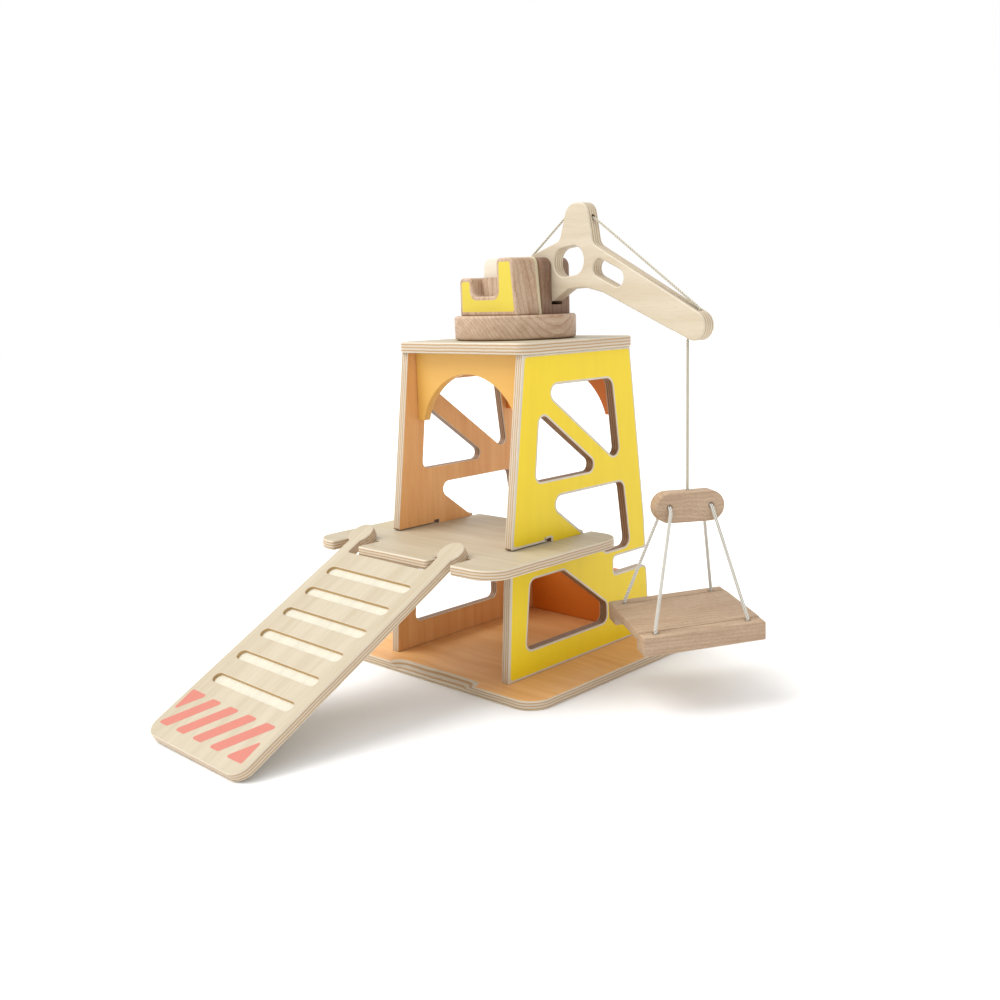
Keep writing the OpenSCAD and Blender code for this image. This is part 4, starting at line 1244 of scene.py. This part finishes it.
def pallet():
    at = pallet_frame()
    for name, side, offset in (("pallet_front_batten", -1, 3.0), ("pallet_rear_batten", 1, 47.0)):
        batten = Build()
        add_batten(batten, side)
        batten.piece(name + "_wood", at, "load", [beech(name + "_beech", offset)], "beech", [name])
    deck_y = PALLET_DEPTH - (BATTEN_W - RABBET) - DECK_GAP
    deck = box_outline(-PALLET_HALF, PALLET_HALF, -deck_y, deck_y, 0.6)
    board("pallet_deck_board", deck, at @ Matrix.Translation(Z * -DECK_T / 2 * MM), "load",
          [beech("deck_wood", 29.0)], "beech", t=DECK_T, replaces=["pallet_deck"], top=0.6, bottom=0.6)


def sling_route(side):
    """From the knot under the front batten through the spreader bar to the one under the rear."""
    face, x = SPREADER_T / 2, side * SLING_X
    near, far = Vector((side * EYE_X, -EYE_Y, 0)), Vector((side * EYE_X, EYE_Y, 0))
    down = Z * KNOT_TOP
    return [
        hung(near + down), hung(near), hung(near + Vector((0, 0.2, 2))),
        (x + side * 0.5, -face - 3.2, SLING_Z - 5), (x, -face - 1.2, SLING_Z - 0.6),
        (x, -face + 1.5, SLING_Z), (x, face - 1.5, SLING_Z), (x, face + 1.2, SLING_Z - 0.6),
        (x + side * 0.5, face + 3.2, SLING_Z - 5), hung(far + Vector((0, -0.2, 2))),
        hung(far), hung(far + down),
    ]


def slings():
    cord = [WHITE_COTTON, WHITE_GROOVE_SHADE]
    for name, side in (("sling_cord_left", -1), ("sling_cord_right", 1)):
        sling = Build()
        rope(sling, sling_route(side), SLING_CORD_R, flat=X)
        sling.piece(name + "_rope", load_frame(), "load", cord, "cotton_cord", [name])
    tied = Build()
    for x in (-EYE_X, EYE_X):
        for y in (-EYE_Y, EYE_Y):
            knot(tied, (x, y, KNOT_MID), KNOT_R)
    tied.piece("sling_rope_knots", pallet_frame(), "load", cord, "cotton_cord", ["sling_knots"])


# ---- Studio ----
FLOOR_HALF_M, FLOOR_LIGHT, FLOOR_DARK = 8.0, (0.95, 0.95, 0.95, 1), (0.93, 0.93, 0.93, 1)
SKY_STRENGTH, SUN_ENERGY, SUN_ANGLE, SUN_FROM = 1.0, 2.6, math.radians(48), Vector((-0.7, -0.6, 1.25))


def studio():
    """A white floor under an even white sky, and one soft light from the front left."""
    mesh = bpy.data.meshes.new("floor")
    corners = box_outline(-FLOOR_HALF_M, FLOOR_HALF_M, -FLOOR_HALF_M, FLOOR_HALF_M)
    mesh.from_pydata(corners, [], [(0, 1, 2, 3)])
    floor = bpy.data.objects.new("floor", mesh)
    p = Paint("floor_paper")
    tone = p.noise((0.002,) * 3, detail=1)
    mesh.materials.append(p.finish(p.mix(tone, FLOOR_LIGHT, FLOOR_DARK), 0.9))
    scene.collection.objects.link(floor)
    scene.world = bpy.data.worlds.new("world")
    scene.world.use_nodes = True
    sky = scene.world.node_tree.nodes["Background"]
    sky.inputs["Color"].default_value = (1.0, 1.0, 1.0, 1)
    sky.inputs["Strength"].default_value = SKY_STRENGTH
    scene.view_settings.view_transform = "Standard"
    data = bpy.data.lights.new("softbox", "SUN")
    data.energy = SUN_ENERGY
    data.angle = SUN_ANGLE
    softbox = bpy.data.objects.new("softbox", data)
    softbox.rotation_euler = SUN_FROM.to_track_quat("Z", "Y").to_euler()
    scene.collection.objects.link(softbox)


# The pegs and pins that stay as they are in the CAD. Every other node is replaced below.
HIDDEN_PEGS = beech("hidden_peg_wood", 1.0, "Z")
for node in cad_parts.values():
    node.data.materials.clear()
    node.data.materials.append(HIDDEN_PEGS)

tower()
platform()
ramp()
turret()
cords()
load()
fixings()
studio()
